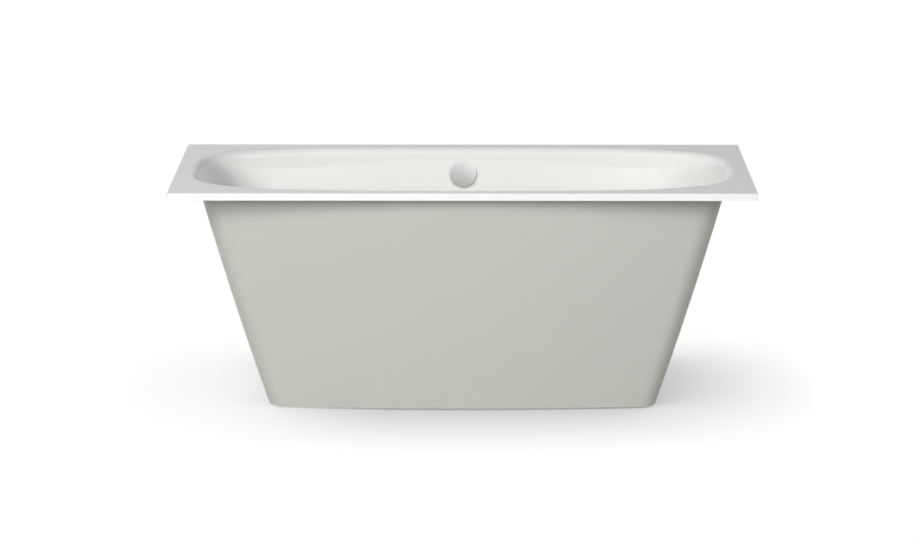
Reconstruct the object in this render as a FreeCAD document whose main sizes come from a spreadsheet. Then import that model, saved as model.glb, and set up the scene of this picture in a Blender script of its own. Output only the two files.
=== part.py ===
"""Bathtub of enamelled steel with a flat rectangular rim and a tapered casing, back to the wall.

Millimetres. The origin is on the floor under the middle of the rim. X runs along the bath, the
casing's front faces -Y, the open back faces +Y and the wall, and Z is up.

The shell is one pressed sheet: rim, folded lip, rolled edge and basin. It stands on two rails with
levelling feet. The casing hangs from the rim. A knob on the back wall turns a cam that pulls a
cable, and the cable tips a lever that lifts the plug in the drain.
"""
import FreeCAD, Part

import math
import os

import Sketcher

Vector = FreeCAD.Vector
doc = FreeCAD.newDocument("bathtub")

# ---------------------------------------------------------------- sizes
# a number is given once; what follows from another size is a formula with its own allowance
SIZES = (
    # rim and shell
    ("bath_length", 1600, "rim, left edge to right edge"),
    ("bath_width", 700, "rim, front edge to back edge"),
    ("bath_height", 630, "floor to the top of the rim"),
    ("shell_sheet", 3, "thickness of the pressed and enamelled sheet"),
    ("lip_height", 20, "rim top to the lower edge of the folded lip"),
    ("rim_corner", 3, "radius of the rim's corners in plan"),
    ("rim_edge", 2, "radius along the rim's top edge"),
    ("opening_length", 1518, "basin opening with its rolled edge"),
    ("opening_width", 634, "basin opening with its rolled edge"),
    ("edge_roll", 22, "radius of the rolled edge"),
    ("edge_squareness", 3.65, "exponent of the opening's outline: 2 is an ellipse"),
    ("basin_clearance", 180, "floor to the basin floor: the room for the trap and the feet"),
    ("basin_depth", "=bath_height - basin_clearance", "rim top to the basin floor"),
    ("floor_round", 45, "radius between the basin's walls and its floor"),
    # walls of the basin at five depths, named for the back that leans on them
    ("neck_depth", 10, "depth at which the back rest leaves the rolled edge at the ends"),
    ("neck_length", 1482, "basin length there"),
    ("neck_width", 598.6, "basin width there"),
    ("neck_squareness", 4.5, "outline exponent there"),
    ("crease_depth", 28, "depth at which the back rest leaves the rolled edge at the corners"),
    ("crease_length", 1430, "basin length there"),
    ("crease_width", 592, "basin width there"),
    ("crease_squareness", 4.5, "outline exponent there"),
    ("shoulder_depth", "=basin_depth / 3", "depth of the shoulders"),
    ("shoulder_length", 1280, "basin length there"),
    ("shoulder_width", 558, "basin width there"),
    ("shoulder_squareness", 3.8, "outline exponent there"),
    ("waist_depth", "=basin_depth * 11 / 15", "depth of the waist"),
    ("waist_length", 1120, "basin length there"),
    ("waist_width", 500, "basin width there"),
    ("waist_squareness", 3.2, "outline exponent there"),
    ("floor_length", 1020, "basin length at the floor, before it is rounded"),
    ("floor_width", 420, "basin width there"),
    ("floor_squareness", 3, "outline exponent there"),
    # casing
    ("casing_sheet", 2, "thickness of the casing's sheet"),
    ("floor_gap", 5, "shadow gap under the casing"),
    ("casing_tuck", 1, "how far the casing's top hides behind the lip"),
    ("wall_gap", 4, "rim's back edge to the casing's back flange"),
    ("casing_top_length", 1473, "casing at its top"),
    ("casing_top_front", 315, "middle of the bath to the casing's front, at the top"),
    ("casing_top_corner", 72, "corner radius in plan at the top"),
    ("casing_base_length", 1105, "casing at its foot"),
    ("casing_base_front", 272, "middle of the bath to the casing's front, at the foot"),
    ("casing_base_corner", 50, "corner radius in plan at the foot"),
    ("casing_belly", 4.5, "how far the ends bulge half way up"),
    ("front_bow", 5200, "plan radius of the casing's front"),
    ("end_bow", 1500, "plan radius of the casing's ends"),
    ("casing_flange", 20, "inward flange along the foot and the back edges"),
    # what holds the casing
    ("spacer_width", 60, "rubber block between the basin's front wall and the casing"),
    ("spacer_height", 40, "its height"),
    ("spacer_depth", 45, "rim top to its upper face"),
    ("spacer_offset", 300, "middle block to the next one along the front"),
    ("bracket_width", 40, "hanger under the rim at each back edge"),
    ("bracket_sheet", 2, "its thickness"),
    ("bracket_drop", 55, "its height"),
    ("bracket_foot", 25, "its flange under the rim"),
    ("back_screw_radius", 2.5, "screws through the casing's back flanges"),
    ("back_screw_length", 10, "their length"),
    ("back_screw_drop", 35, "rim's underside to those screws"),
    ("back_nut_radius", 4.75, "middle of a nut on them to its corners"),
    ("back_nut_height", 4, "its height"),
    # sound deadening
    ("sound_pad", 3, "thickness of the sound deadening pads"),
    ("sound_pad_length", 240, "along the bath"),
    ("sound_pad_height", 130, "up the back wall, and across the floor"),
    ("sound_pad_offset", 280, "middle of the bath to the middle of a pad"),
    # frame
    ("rail_offset", 370, "middle of the bath to a rail"),
    ("rail_length", 480, "rail, front to back"),
    ("rail_size", 41, "width and height of the rail's channel"),
    ("rail_sheet", 2.5, "its thickness"),
    ("rail_lip", 7, "lips that turn in at the channel's top"),
    ("rail_pad", 3, "rubber strip between a rail and the basin floor"),
    ("rail_pad_length", "=floor_width - 120", "its length"),
    ("weld_stud_radius", 4, "studs welded under the basin floor"),
    ("weld_stud_spacing", "=floor_width - 180", "front stud to back stud"),
    ("weld_stud_tail", 9, "rail's underside to the stud's end"),
    ("weld_nut_height", 6.5, "nut on a weld stud"),
    ("weld_nut_flats", 13, "its width across flats"),
    ("foot_offset", "=rail_length / 2 - 40", "middle of the bath to a foot, front or back"),
    ("foot_radius", 30, "foot plate"),
    ("foot_height", 22, "foot plate to the top of its socket"),
    ("foot_base", 6, "thickness of the foot plate's rim"),
    ("foot_cone", 16, "foot plate to the top of its cone"),
    ("foot_socket", 14, "outer radius of its socket"),
    ("foot_seat", 8, "floor to the lower end of the stud"),
    ("foot_stud_radius", 6, "levelling stud"),
    ("foot_stud_rise", 35, "rail's underside to the levelling stud's upper end"),
    ("foot_nut_height", 10, "nut on a levelling stud"),
    ("foot_nut_flats", 19, "its width across flats"),
    ("earth_lug_length", 30, "tab for the bonding wire"),
    ("earth_lug_width", 20, "tab for the bonding wire"),
    ("earth_screw_reach", 18, "rail's end to the middle of its screw"),
    ("earth_screw_radius", 3, "its screw"),
    # clearances
    ("running_fit", 0.05, "radial gap of what turns or slides"),
    ("seat_gap", 0.3, "gap of what moves but doesn't rub"),
    ("screw_gap", 0.5, "radial gap of a screw or stud in its hole"),
    # overflow
    ("overflow_drop", 75, "rim top to the middle of the knob"),
    ("overflow_hole", 26, "radius of the hole in the wall"),
    ("overflow_seal", 3, "thickness of the rubber ring outside the wall"),
    ("clamp_radius", 31, "clamp ring inside the wall"),
    ("clamp_thickness", 3, "clamp ring"),
    ("clamp_screw_offset", 20, "knob axis to a clamp screw"),
    ("clamp_screw_radius", 2.5, "clamp screw"),
    ("clamp_head_radius", 4.5, "its head"),
    ("clamp_slot_length", 26, "water slot in the clamp ring"),
    ("clamp_slot_height", 13, "water slot in the clamp ring"),
    ("clamp_slot_offset", 15.5, "knob axis to the middle of a slot"),
    ("knob_radius", 38, "knob"),
    ("knob_gap", 4, "wall to the knob's edge, where the water goes in"),
    ("knob_depth", 9, "knob's edge to the middle of its face"),
    ("knob_dome", 290, "radius of the knob's domed face"),
    ("knob_wall", 2, "thickness of the knob's skirt"),
    ("knob_face", 5, "thickness of the knob's face"),
    ("hub_setback", 1, "how far its hub stays inside its edge"),
    ("shaft_radius", 4, "knob shaft"),
    ("drum_radius", 6, "drum that winds the cable"),
    ("drum_flange", 4, "how far the drum's ends stand out"),
    ("drum_half", 7.5, "middle of the drum to its ends"),
    ("drum_groove", 1, "half the width of the groove's bottom"),
    ("housing_radius", 30, "overflow housing"),
    ("housing_wall", 2.5, "its thickness"),
    ("housing_depth", 43, "its depth behind its flange"),
    ("housing_round", 1.75, "round at its end"),
    ("housing_flange", 3, "thickness of its flange"),
    ("housing_brim", 4, "how far its flange stands out"),
    ("pipe_setback", 30, "basin wall to the axis of the overflow pipe"),
    ("pipe_radius", 16, "overflow pipe"),
    ("pipe_wall", 2, "its thickness"),
    ("pipe_bend", 60, "radius of its bend"),
    ("collar_wall", 3.5, "collar that takes the pipe"),
    ("collar_length", 46, "housing axis to the end of its collar"),
    ("pipe_start", 34, "housing axis to the pipe's upper end"),
    ("pipe_finish", 38, "drain axis to the pipe's lower end"),
    ("pipe_nut_radius", 24, "nut on a pipe collar"),
    ("pipe_nut_length", 16, "nut on a pipe collar"),
    ("nut_ribs", 12, "grip ribs round a nut"),
    ("nut_rib", 1.2, "radius of a grip rib"),
    # cable
    ("cable_radius", 3, "cable sheath"),
    ("cable_offset", 29, "pipe axis to the cable"),
    ("cable_bend", 120, "radius of the cable's bend"),
    ("gland_radius", 5, "cable gland"),
    ("gland_length", 36, "middle of the housing to the end of its gland"),
    ("cable_start", 24, "middle of the housing to the cable's end"),
    ("clip_width", 12, "cable clip"),
    ("clip_wall", 2, "cable clip"),
    ("clip_start", 68, "pipe's upper end to the first clip"),
    ("clip_spacing", 85, "from clip to clip"),
    ("clip_count", 3, "cable clips"),
    # drain
    ("drain_hole", 26, "radius of the hole in the floor"),
    ("dish_radius", 47, "dish round the drain"),
    ("dish_depth", 5, "dish round the drain"),
    ("dish_slope", 5, "how much smaller the dish is at its bottom"),
    ("drain_seal", 3, "rubber ring under the floor"),
    ("strainer_radius", 36, "chromed drain ring"),
    ("strainer_neck", 24.5, "its threaded neck"),
    ("strainer_neck_length", 17, "its threaded neck"),
    ("strainer_bore", 22, "its bore"),
    ("strainer_edge", 1.5, "height of its outer edge"),
    ("strainer_crown", 3.5, "height of its crown"),
    ("strainer_land", 6, "bore to its crown"),
    ("strainer_seat", 1, "height of its inner edge"),
    ("cup_radius", 31, "drain housing"),
    ("cup_wall", 3, "its thickness"),
    ("cup_flange", 38, "radius of its flange"),
    ("cup_depth", 60, "underside of the dish to the bottom of the housing"),
    ("neck_radius", 20, "waste neck and trap pipe"),
    ("neck_wall", 2.5, "their thickness"),
    ("neck_reach", 19, "length of the waste neck"),
    ("port_drop", 25, "underside of the dish to the overflow's port in the drain housing"),
    ("port_reach", 62, "drain axis to the port's end"),
    ("plug_radius", 31, "plug cap"),
    ("plug_dome", 120, "radius of the domed cap"),
    ("plug_height", 5, "cap, from the drain ring to its top"),
    ("plug_seal_height", 4, "rubber ring under the cap"),
    ("plug_lift", 10, "how far the plug rises"),
    ("stem_radius", 4, "plug stem"),
    ("lever_reach", 22, "lever pin to its tip"),
    ("lever_drop", 48, "underside of the dish to the lever pin"),
    ("lever_tip", 3, "radius of the lever's tip"),
    ("lever_pin_radius", 2, "lever pin"),
    # trap
    ("trap_bend", 38, "radius of the trap's bends"),
    ("trap_reach", 77, "drain axis to the outlet's axis"),
    ("trap_joint_drop", 13, "end of the waste neck to the trap's joint with the outlet pipe"),
    ("trap_drop", 81, "end of the waste neck to the underside of the trap"),
    ("trap_nut_radius", 29, "trap nuts"),
    ("trap_nut_length", 16, "trap nuts"),
    ("outlet_rise", 38, "trap's joint to the axis of the outlet pipe"),
    ("outlet_bend", 30, "radius of the outlet's elbow"),
    ("outlet_back", "=bath_width / 2 - wall_gap", "middle of the bath to the end of the outlet pipe"),
)

sheet = doc.addObject("Spreadsheet::Sheet", "Sizes")
for row, (alias, content, note) in enumerate(SIZES, 1):
    sheet.set("A%d" % row, note)
    sheet.setAlias("B%d" % row, alias)
    sheet.set("B%d" % row, str(content))
doc.recompute()

# heights above the floor and reaches that several pieces share, as formulas on the sheet
RIM_UNDER = "(Sizes.bath_height - Sizes.shell_sheet)"
BASIN_FLOOR = "(Sizes.bath_height - Sizes.basin_depth)"
FLOOR_UNDER = "(%s - Sizes.shell_sheet)" % BASIN_FLOOR
RAIL_TOP = "(%s - Sizes.rail_pad)" % FLOOR_UNDER
RAIL_FOOT = "(%s - Sizes.rail_size)" % RAIL_TOP
WEB_TOP = "(%s + Sizes.rail_sheet)" % RAIL_FOOT
DISH_FLOOR = "(%s - Sizes.dish_depth)" % BASIN_FLOOR
DISH_UNDER = "(%s - Sizes.shell_sheet)" % DISH_FLOOR
CUP_TOP = "(%s - Sizes.drain_seal)" % DISH_UNDER
CUP_FOOT = "(%s - Sizes.cup_depth)" % DISH_UNDER
NECK_FOOT = "(%s - Sizes.neck_reach)" % CUP_FOOT
PORT_HEIGHT = "(%s - Sizes.port_drop)" % DISH_UNDER
LEVER_HEIGHT = "(%s - Sizes.lever_drop)" % DISH_UNDER
TRAP_JOINT = "(%s - Sizes.trap_joint_drop)" % NECK_FOOT
COLLAR_RADIUS = "(Sizes.pipe_radius + Sizes.collar_wall)"

NODES = []  # what is written, in order


def value(formula):
    """The number that a formula on the sheet gives."""
    found = sheet.evalExpression(str(formula))
    return float(getattr(found, "Value", found))


def size(alias):
    """The number in a cell of the sheet."""
    return float(sheet.get(alias))


# ---------------------------------------------------------------- ways to make a piece
def bind(thing, **formulas):
    """Tie properties to formulas on the sheet."""
    for name, formula in formulas.items():
        thing.setExpression(name, str(formula))
    return thing


def place(thing, x=0, y=0, z=0):
    """Tie a piece's position to formulas on the sheet."""
    for axis, formula in (("x", x), ("y", y), ("z", z)):
        thing.setExpression(".Placement.Base." + axis, str(formula))
    return thing


def turn(thing, axis, degrees):
    """Turn a piece about an axis through its own origin."""
    thing.Placement.Rotation = FreeCAD.Rotation(axis, degrees)
    return thing


def drawn(body, name, role, corners):
    """Closed outline of straight sides in one of the body's origin planes, each corner tied to the sheet."""
    sketch = body.newObject("Sketcher::SketchObject", name)
    plane = next(item for item in body.Origin.OriginFeatures if item.Role == role)
    sketch.AttachmentSupport = [(plane, "")]
    sketch.MapMode = "FlatFace"
    spots = [Vector(value(across), value(up), 0) for across, up in corners]
    count = len(spots)
    for i in range(count):
        sketch.addGeometry(Part.LineSegment(spots[i], spots[(i + 1) % count]))
    for i in range(count):
        sketch.addConstraint(Sketcher.Constraint("Coincident", i, 2, (i + 1) % count, 1))
    for i, (across, up) in enumerate(corners):
        for kind, formula, now, axis in (
            ("DistanceX", across, spots[i].x, -2),
            ("DistanceY", up, spots[i].y, -1),
        ):
            if abs(now) < 1e-9:
                sketch.addConstraint(Sketcher.Constraint("PointOnObject", i, 1, axis))
            else:
                held = sketch.addConstraint(Sketcher.Constraint(kind, -1, 1, i, 1, now))
                sketch.setExpression("Constraints[%d]" % held, str(formula))
    return sketch


def turned(name, profile):
    """Body turned about Z from half of its section, given as (radius, height) corners."""
    body = doc.addObject("PartDesign::Body", name)
    sketch = drawn(body, name + "_section", "XZ_Plane", profile)
    lathe = body.newObject("PartDesign::Revolution", name + "_turning")
    lathe.Profile = sketch
    lathe.ReferenceAxis = (sketch, ["V_Axis"])
    lathe.Angle = 360
    return body


def padded(name, role, corners, length):
    """Body padded both ways from an outline in an origin plane."""
    body = doc.addObject("PartDesign::Body", name)
    sketch = drawn(body, name + "_outline", role, corners)
    pad = body.newObject("PartDesign::Pad", name + "_pad")
    pad.Profile = sketch
    pad.Midplane = True
    bind(pad, Length=length)
    return body


def rounded(body, name, radius, wanted):
    """Round those edges of a body that a test picks."""
    doc.recompute()
    tip = body.Tip
    picked = ["Edge%d" % i for i, edge in enumerate(tip.Shape.Edges, 1) if wanted(edge)]
    rounding = body.newObject("PartDesign::Fillet", name)
    rounding.Base = (tip, picked)
    bind(rounding, Radius=radius)
    return body


def rod(name, radius, length, x=0, y=0, z=0):
    """Cylinder up from a point."""
    made = doc.addObject("Part::Cylinder", name)
    bind(made, Radius=radius, Height=length)
    return place(made, x, y, z)


def block(name, along, deep, high, x=0, y=0, z=0):
    """Box from its left, front, lower corner."""
    made = doc.addObject("Part::Box", name)
    bind(made, Length=along, Width=deep, Height=high)
    return place(made, x, y, z)


def cut(name, base, *tools):
    """One piece less others."""
    tool = tools[0] if len(tools) == 1 else joined(name + "_tools", *tools)
    made = doc.addObject("Part::Cut", name)
    made.Base = base
    made.Tool = tool
    made.Refine = True
    return made


def joined(name, *pieces):
    """One solid of several."""
    made = doc.addObject("Part::MultiFuse", name)
    made.Shapes = list(pieces)
    made.Refine = True
    return made


def group(name, *pieces):
    """Separate solids of the same kind in one node."""
    made = doc.addObject("Part::Compound", name)
    made.Links = list(pieces)
    return made


def formed(name, shape):
    """Piece whose form is worked out below from the sheet's values."""
    made = doc.addObject("Part::Feature", name)
    made.Shape = shape
    return made


def node(thing):
    """Mark a piece as one that is written, under its own name."""
    thing.Label = thing.Name
    NODES.append(thing)
    return thing


def hex_nut(name, flats, height, bore, x=0, y=0, z=0):
    """Hexagon nut on a vertical stud."""
    prism = doc.addObject("Part::Prism", name + "_blank")
    prism.Polygon = 6
    bind(prism, Circumradius="%s / sqrt(3)" % flats, Height=height)
    hole = rod(name + "_hole", bore, height)
    return place(cut(name, prism, hole), x, y, z)


def ribbed_nut(name, radius, bore, length):
    """Round nut with grip ribs, up from its own origin."""
    barrel = rod(name + "_barrel", radius, length)
    ribs = []
    count = int(size("nut_ribs"))
    for i in range(count):
        angle = 360 * i / count
        rib = rod(
            "%s_rib_%d" % (name, i + 1), "Sizes.nut_rib", length,
            "%s * cos(%g deg)" % (radius, angle), "%s * sin(%g deg)" % (radius, angle),
        )
        ribs.append(rib)
    return cut(name, joined(name + "_blank", barrel, *ribs), rod(name + "_bore", bore, length))


# ---------------------------------------------------------------- outlines and lofts
def quarter_oval(half_length, half_width, squareness, height):
    """Back right quarter of a superellipse, |x/a|^n + |y/b|^n = 1, closed along both axes."""
    steps = 12
    spots = []
    for i in range(steps + 1):
        angle = math.pi / 2 * i / steps
        x = half_length * math.cos(angle) ** (2 / squareness) if i < steps else 0
        y = half_width * math.sin(angle) ** (2 / squareness)
        spots.append(Vector(x, y, height))
    curve = Part.BSplineCurve()
    curve.interpolate(spots, InitialTangent=Vector(0, 1, 0), FinalTangent=Vector(-1, 0, 0))
    middle = Vector(0, 0, height)
    return Part.Wire([
        curve.toShape(),
        Part.LineSegment(spots[-1], middle).toShape(),
        Part.LineSegment(middle, spots[0]).toShape(),
    ])


def all_quarters(quarter):
    """One solid of a back right quarter and its three mirror images, sewn where they meet."""
    # faces in the planes through the middle of the bath are inside the whole and left out
    outer = [face for face in quarter.Faces if min(face.BoundBox.XMax, face.BoundBox.YMax) > 0.001]
    right = outer + [face.mirror(Vector(), Vector(0, 1, 0)) for face in outer]
    shell = Part.Shell(right + [face.mirror(Vector(), Vector(1, 0, 0)) for face in right])
    shell.sewShape()
    solid = Part.Solid(shell)
    if solid.Volume < 0:
        solid.reverse()
    return solid


def tangent_arc(centre, radius, start, end):
    """The shorter arc between two points of a circle."""
    middle = (start + end) * 0.5 - centre
    middle.normalize()
    return Part.Arc(start, centre + middle * radius, end).toShape()


def casing_outline(half_length, front, corner, inset, height):
    """Plan of the casing at one height: bowed front and ends, round corners, straight back."""
    front_radius = size("front_bow") - inset
    end_radius = size("end_bow") - inset
    corner_radius = corner - inset
    back = size("bath_width") / 2 - size("wall_gap") - inset
    front_centre = Vector(0, front_radius - (front - inset), height)
    end_centre = Vector(half_length - inset - end_radius, 0, height)
    # the corner's circle touches both bows from inside
    between = end_centre - front_centre
    apart = between.Length
    to_front = front_radius - corner_radius
    to_end = end_radius - corner_radius
    along = (to_front ** 2 - to_end ** 2 + apart ** 2) / (2 * apart)
    aside = math.sqrt(to_front ** 2 - along ** 2)
    unit = between / apart
    corner_centre = front_centre + unit * along + Vector(-unit.y, unit.x, 0) * aside
    if corner_centre.x < 0 or corner_centre.y > 0:
        corner_centre = front_centre + unit * along - Vector(-unit.y, unit.x, 0) * aside
    on_front = front_centre + (corner_centre - front_centre) / to_front * front_radius
    on_end = end_centre + (corner_centre - end_centre) / to_end * end_radius
    on_back = Vector(end_centre.x + math.sqrt(end_radius ** 2 - back ** 2), back, height)

    def mirrored(spot):
        return Vector(-spot.x, spot.y, spot.z)

    edges = [
        Part.Arc(mirrored(on_front), Vector(0, inset - front, height), on_front).toShape(),
        tangent_arc(corner_centre, corner_radius, on_front, on_end),
        tangent_arc(end_centre, end_radius, on_end, on_back),
        Part.LineSegment(on_back, mirrored(on_back)).toShape(),
        tangent_arc(mirrored(end_centre), end_radius, mirrored(on_back), mirrored(on_end)),
        tangent_arc(mirrored(corner_centre), corner_radius, mirrored(on_end), mirrored(on_front)),
    ]
    return Part.Wire(edges)


def moved_box(along, deep, high, x, y, z):
    """Plain box for shaping a formed piece."""
    return Part.makeBox(along, deep, high, Vector(x, y, z))


def tube_wire(corners, bends):
    """Straight runs joined by tangent arcs, one bend radius for each inner corner."""
    edges = []
    start = corners[0]
    for before, corner, after, radius in zip(corners, corners[1:], corners[2:], bends):
        into = (corner - before).normalize()
        out = (after - corner).normalize()
        half = into.getAngle(out) / 2
        back_off = radius * math.tan(half)
        enter = corner - into * back_off
        leave = corner + out * back_off
        inward = (out - into).normalize()
        centre = corner + inward * (radius / math.cos(half))
        edges.append(Part.LineSegment(start, enter).toShape())
        edges.append(Part.Arc(enter, centre - inward * radius, leave).toShape())
        start = leave
    edges.append(Part.LineSegment(start, corners[-1]).toShape())
    return Part.Wire(edges)


def bar(path, radius):
    """Round bar along a path."""
    start = path.OrderedEdges[0]
    heading = start.tangentAt(start.FirstParameter)
    ring = Part.Wire([Part.makeCircle(radius, path.OrderedVertexes[0].Point, heading)])
    return path.makePipeShell([ring], True, False)


def tube(path, radius, wall):
    """Pipe along a path."""
    return bar(path, radius).cut(bar(path, radius - wall))


# ---------------------------------------------------------------- bath shell
# the shell is the same front and back, left and right, so its back right quarter is formed first
RIM_TOP = size("bath_height")
BASIN_LEVELS = ("neck", "crease", "shoulder", "waist", "floor")


def quarter_box(low, high):
    """Box over the whole back right quarter of the rim, between two heights."""
    return Part.makeBox(size("bath_length") / 2, size("bath_width") / 2, high - low, Vector(0, 0, low))


def basin_walls(outward):
    """Space inside the basin's walls, or so far outward of them, from the neck to the floor."""
    depths = [size(level + "_depth") for level in BASIN_LEVELS[:-1]] + [size("basin_depth")]
    wires = []
    for i, level in enumerate(BASIN_LEVELS):
        low, high = max(i - 1, 0), min(i + 1, len(depths) - 1)
        fall = depths[high] - depths[low]
        lengths = [size(BASIN_LEVELS[k] + "_length") / 2 for k in (low, high)]
        widths = [size(BASIN_LEVELS[k] + "_width") / 2 for k in (low, high)]
        end_slope = (lengths[0] - lengths[1]) / fall
        side_slope = (widths[0] - widths[1]) / fall
        half_length = size(level + "_length") / 2 + outward * math.hypot(1, end_slope)
        half_width = size(level + "_width") / 2 + outward * math.hypot(1, side_slope)
        height = RIM_TOP - depths[i] - (outward if level == "floor" else 0)
        wires.append(quarter_oval(half_length, half_width, size(level + "_squareness"), height))
    walls = Part.makeLoft(wires, True, False)
    # the floor's outer edge is the only low one away from the middle planes
    lowest = RIM_TOP - depths[-1] - outward
    edges = [
        edge for edge in walls.Edges
        if edge.CenterOfMass.z < lowest + 1 and min(edge.CenterOfMass.x, edge.CenterOfMass.y) > 1
    ]
    return walls.makeFillet(size("floor_round") + outward, edges)


def rolled_plate(outward):
    """Plate under the rim whose hole has the rolled edge."""
    top = RIM_TOP - outward
    drop = 4 * size("crease_depth")
    half_length = size("opening_length") / 2 - size("edge_roll") + outward
    half_width = size("opening_width") / 2 - size("edge_roll") + outward
    outline = quarter_oval(half_length, half_width, size("edge_squareness"), top - drop)
    holed = quarter_box(top - drop, top).cut(Part.Face(outline).extrude(Vector(0, 0, drop)))
    edges = [
        edge for edge in holed.Edges
        if edge.Curve.TypeId != "Part::GeomLine" and edge.BoundBox.Center.z > top - 1
    ]
    return holed.makeFillet(size("edge_roll") - outward, edges)


def basin(outward):
    """Quarter of the solid that fills the basin, out to the sheet's inner or outer face."""
    top = RIM_TOP - outward
    neck = RIM_TOP - size("neck_depth")
    return basin_walls(outward).fuse(quarter_box(neck, top)).cut(rolled_plate(outward))


def shell_quarter(inside, outside):
    """Rim, lip and basin of one sheet, with the drain's dish and hole."""
    thick = size("shell_sheet")
    half_length, half_width = size("bath_length") / 2, size("bath_width") / 2
    low = RIM_TOP - size("lip_height")
    slab = quarter_box(low, RIM_TOP)
    corner = [
        edge for edge in slab.Edges
        if edge.BoundBox.ZLength > 1 and edge.BoundBox.XMin > 1 and edge.BoundBox.YMin > 1
    ]
    slab = slab.makeFillet(size("rim_corner"), corner)
    rim_edges = [
        edge for edge in slab.Edges
        if edge.BoundBox.ZMin > RIM_TOP - 0.01 and edge.CenterOfMass.distanceToPoint(
            Vector(0, 0, RIM_TOP)) > 1 and (
            edge.CenterOfMass.x > half_length - size("rim_corner") or
            edge.CenterOfMass.y > half_width - size("rim_corner"))
    ]
    slab = slab.makeFillet(size("rim_edge"), rim_edges)
    under = Part.makeBox(half_length - thick, half_width - thick, RIM_TOP - thick - low, Vector(0, 0, low))
    dish, deep = size("dish_radius"), size("dish_depth")
    bottom = dish - size("dish_slope")
    dish_in = Part.makeCone(bottom, dish, deep, Vector(0, 0, value(DISH_FLOOR)))
    # the dish's underside reaches up into the floor, to be one with it
    spread = size("dish_slope") * (deep + thick / 2) / deep
    dish_out = Part.makeCone(
        bottom + thick, bottom + thick + spread, deep + thick / 2, Vector(0, 0, value(DISH_UNDER)))
    hole = Part.makeCylinder(size("drain_hole"), 4 * deep, Vector(0, 0, value(DISH_UNDER) - deep))
    dish_out = dish_out.common(quarter_box(0, RIM_TOP))
    return slab.cut(under).fuse([outside, dish_out]).cut(inside).cut(dish_in.fuse(hole))


basin_space, basin_outside = basin(0), basin(size("shell_sheet"))
shell_shape = all_quarters(shell_quarter(basin_space, basin_outside))

# the overflow's axis stands square on the back wall, which leans out
knob_height = RIM_TOP - size("overflow_drop")


def back_wall(height):
    """Where the basin's back wall is at a height, in the middle of the bath."""
    ray = Part.makeLine(Vector(1, 1, height), Vector(1, size("bath_width"), height))
    return ray.common(basin_space).BoundBox.YMax


wall_y = back_wall(knob_height)
LEAN = math.degrees(math.atan2(
    back_wall(knob_height + size("clamp_radius")) - back_wall(knob_height - size("clamp_radius")),
    2 * size("clamp_radius"),
))
# local Z points into the bath, local Y up the wall
WALL = FreeCAD.Placement(Vector(0, wall_y, knob_height), FreeCAD.Rotation(Vector(1, 0, 0), 90 - LEAN))
through = size("overflow_hole")
overflow_hole = Part.makeCylinder(through, 2 * through, Vector(0, 0, -through))
overflow_hole.Placement = WALL
shell_shape = shell_shape.cut(overflow_hole)
node(formed("bath_shell", shell_shape))

# ---------------------------------------------------------------- casing
CASING_TOP = RIM_TOP - size("lip_height") + size("casing_tuck")
CASING_FOOT = size("floor_gap")


def casing_at(height):
    """Half length, front and corner radius of the casing at a height."""
    share = (height - CASING_FOOT) / (CASING_TOP - CASING_FOOT)
    bulge = 4 * share * (1 - share) * size("casing_belly")
    half_length = (size("casing_base_length") * (1 - share) + size("casing_top_length") * share) / 2
    front = size("casing_base_front") * (1 - share) + size("casing_top_front") * share
    corner = size("casing_base_corner") * (1 - share) + size("casing_top_corner") * share
    return half_length + bulge, front + bulge / 2, corner


def back_edge(height):
    """How far out the casing reaches at its back, at a height."""
    back = size("bath_width") / 2 - size("wall_gap")
    bow = size("end_bow") - math.sqrt(size("end_bow") ** 2 - back ** 2)
    return casing_at(height)[0] - bow


def casing_solid(inset):
    """Solid inside the casing's outer face, or so far inward of it."""
    heights = (CASING_FOOT, (CASING_FOOT + CASING_TOP) / 2, CASING_TOP)
    wires = [casing_outline(*casing_at(height), inset, height) for height in heights]
    return Part.makeLoft(wires, True, False)


def casing():
    """Front and two ends, with a flange turned in along the foot and the back edges."""
    sheet_, flange = size("casing_sheet"), size("casing_flange")
    length, width = size("bath_length"), size("bath_width")
    foot_plate = moved_box(length, width, sheet_, -length / 2, -width / 2, CASING_FOOT)
    hollow = casing_solid(sheet_).cut(foot_plate)
    foot_hole = Part.Face(casing_outline(*casing_at(CASING_FOOT), flange, CASING_FOOT))
    foot_hole = foot_hole.extrude(Vector(0, 0, sheet_))
    back = width / 2 - size("wall_gap")
    low_z, high_z = CASING_FOOT + flange, CASING_TOP
    low_x, high_x = back_edge(low_z) - flange, back_edge(high_z) - flange
    window = Part.Face(Part.makePolygon([
        Vector(-low_x, back + 1, low_z), Vector(low_x, back + 1, low_z),
        Vector(high_x, back + 1, high_z), Vector(-high_x, back + 1, high_z),
        Vector(-low_x, back + 1, low_z),
    ])).extrude(Vector(0, -2 * sheet_, 0))
    return casing_solid(0).cut(hollow.fuse([foot_hole, window]))


casing_shape = casing()


# rubber blocks bonded between the basin's front wall and the casing
block_width, block_height = size("spacer_width"), size("spacer_height")
block_foot = RIM_TOP - size("spacer_depth") - block_height
wall_front = basin_walls(size("shell_sheet")).mirror(Vector(), Vector(0, 1, 0))
wall_front = wall_front.fuse(wall_front.mirror(Vector(), Vector(1, 0, 0)))
casing_inside = casing_solid(size("casing_sheet"))
spacers = []
for spot in (-1, 0, 1):
    area = moved_box(
        block_width, size("bath_width") / 2, block_height,
        spot * size("spacer_offset") - block_width / 2, -size("bath_width") / 2, block_foot,
    )
    spacers.append(area.common(casing_inside).cut(wall_front))
node(formed("casing_spacers", Part.makeCompound(spacers)))

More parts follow.
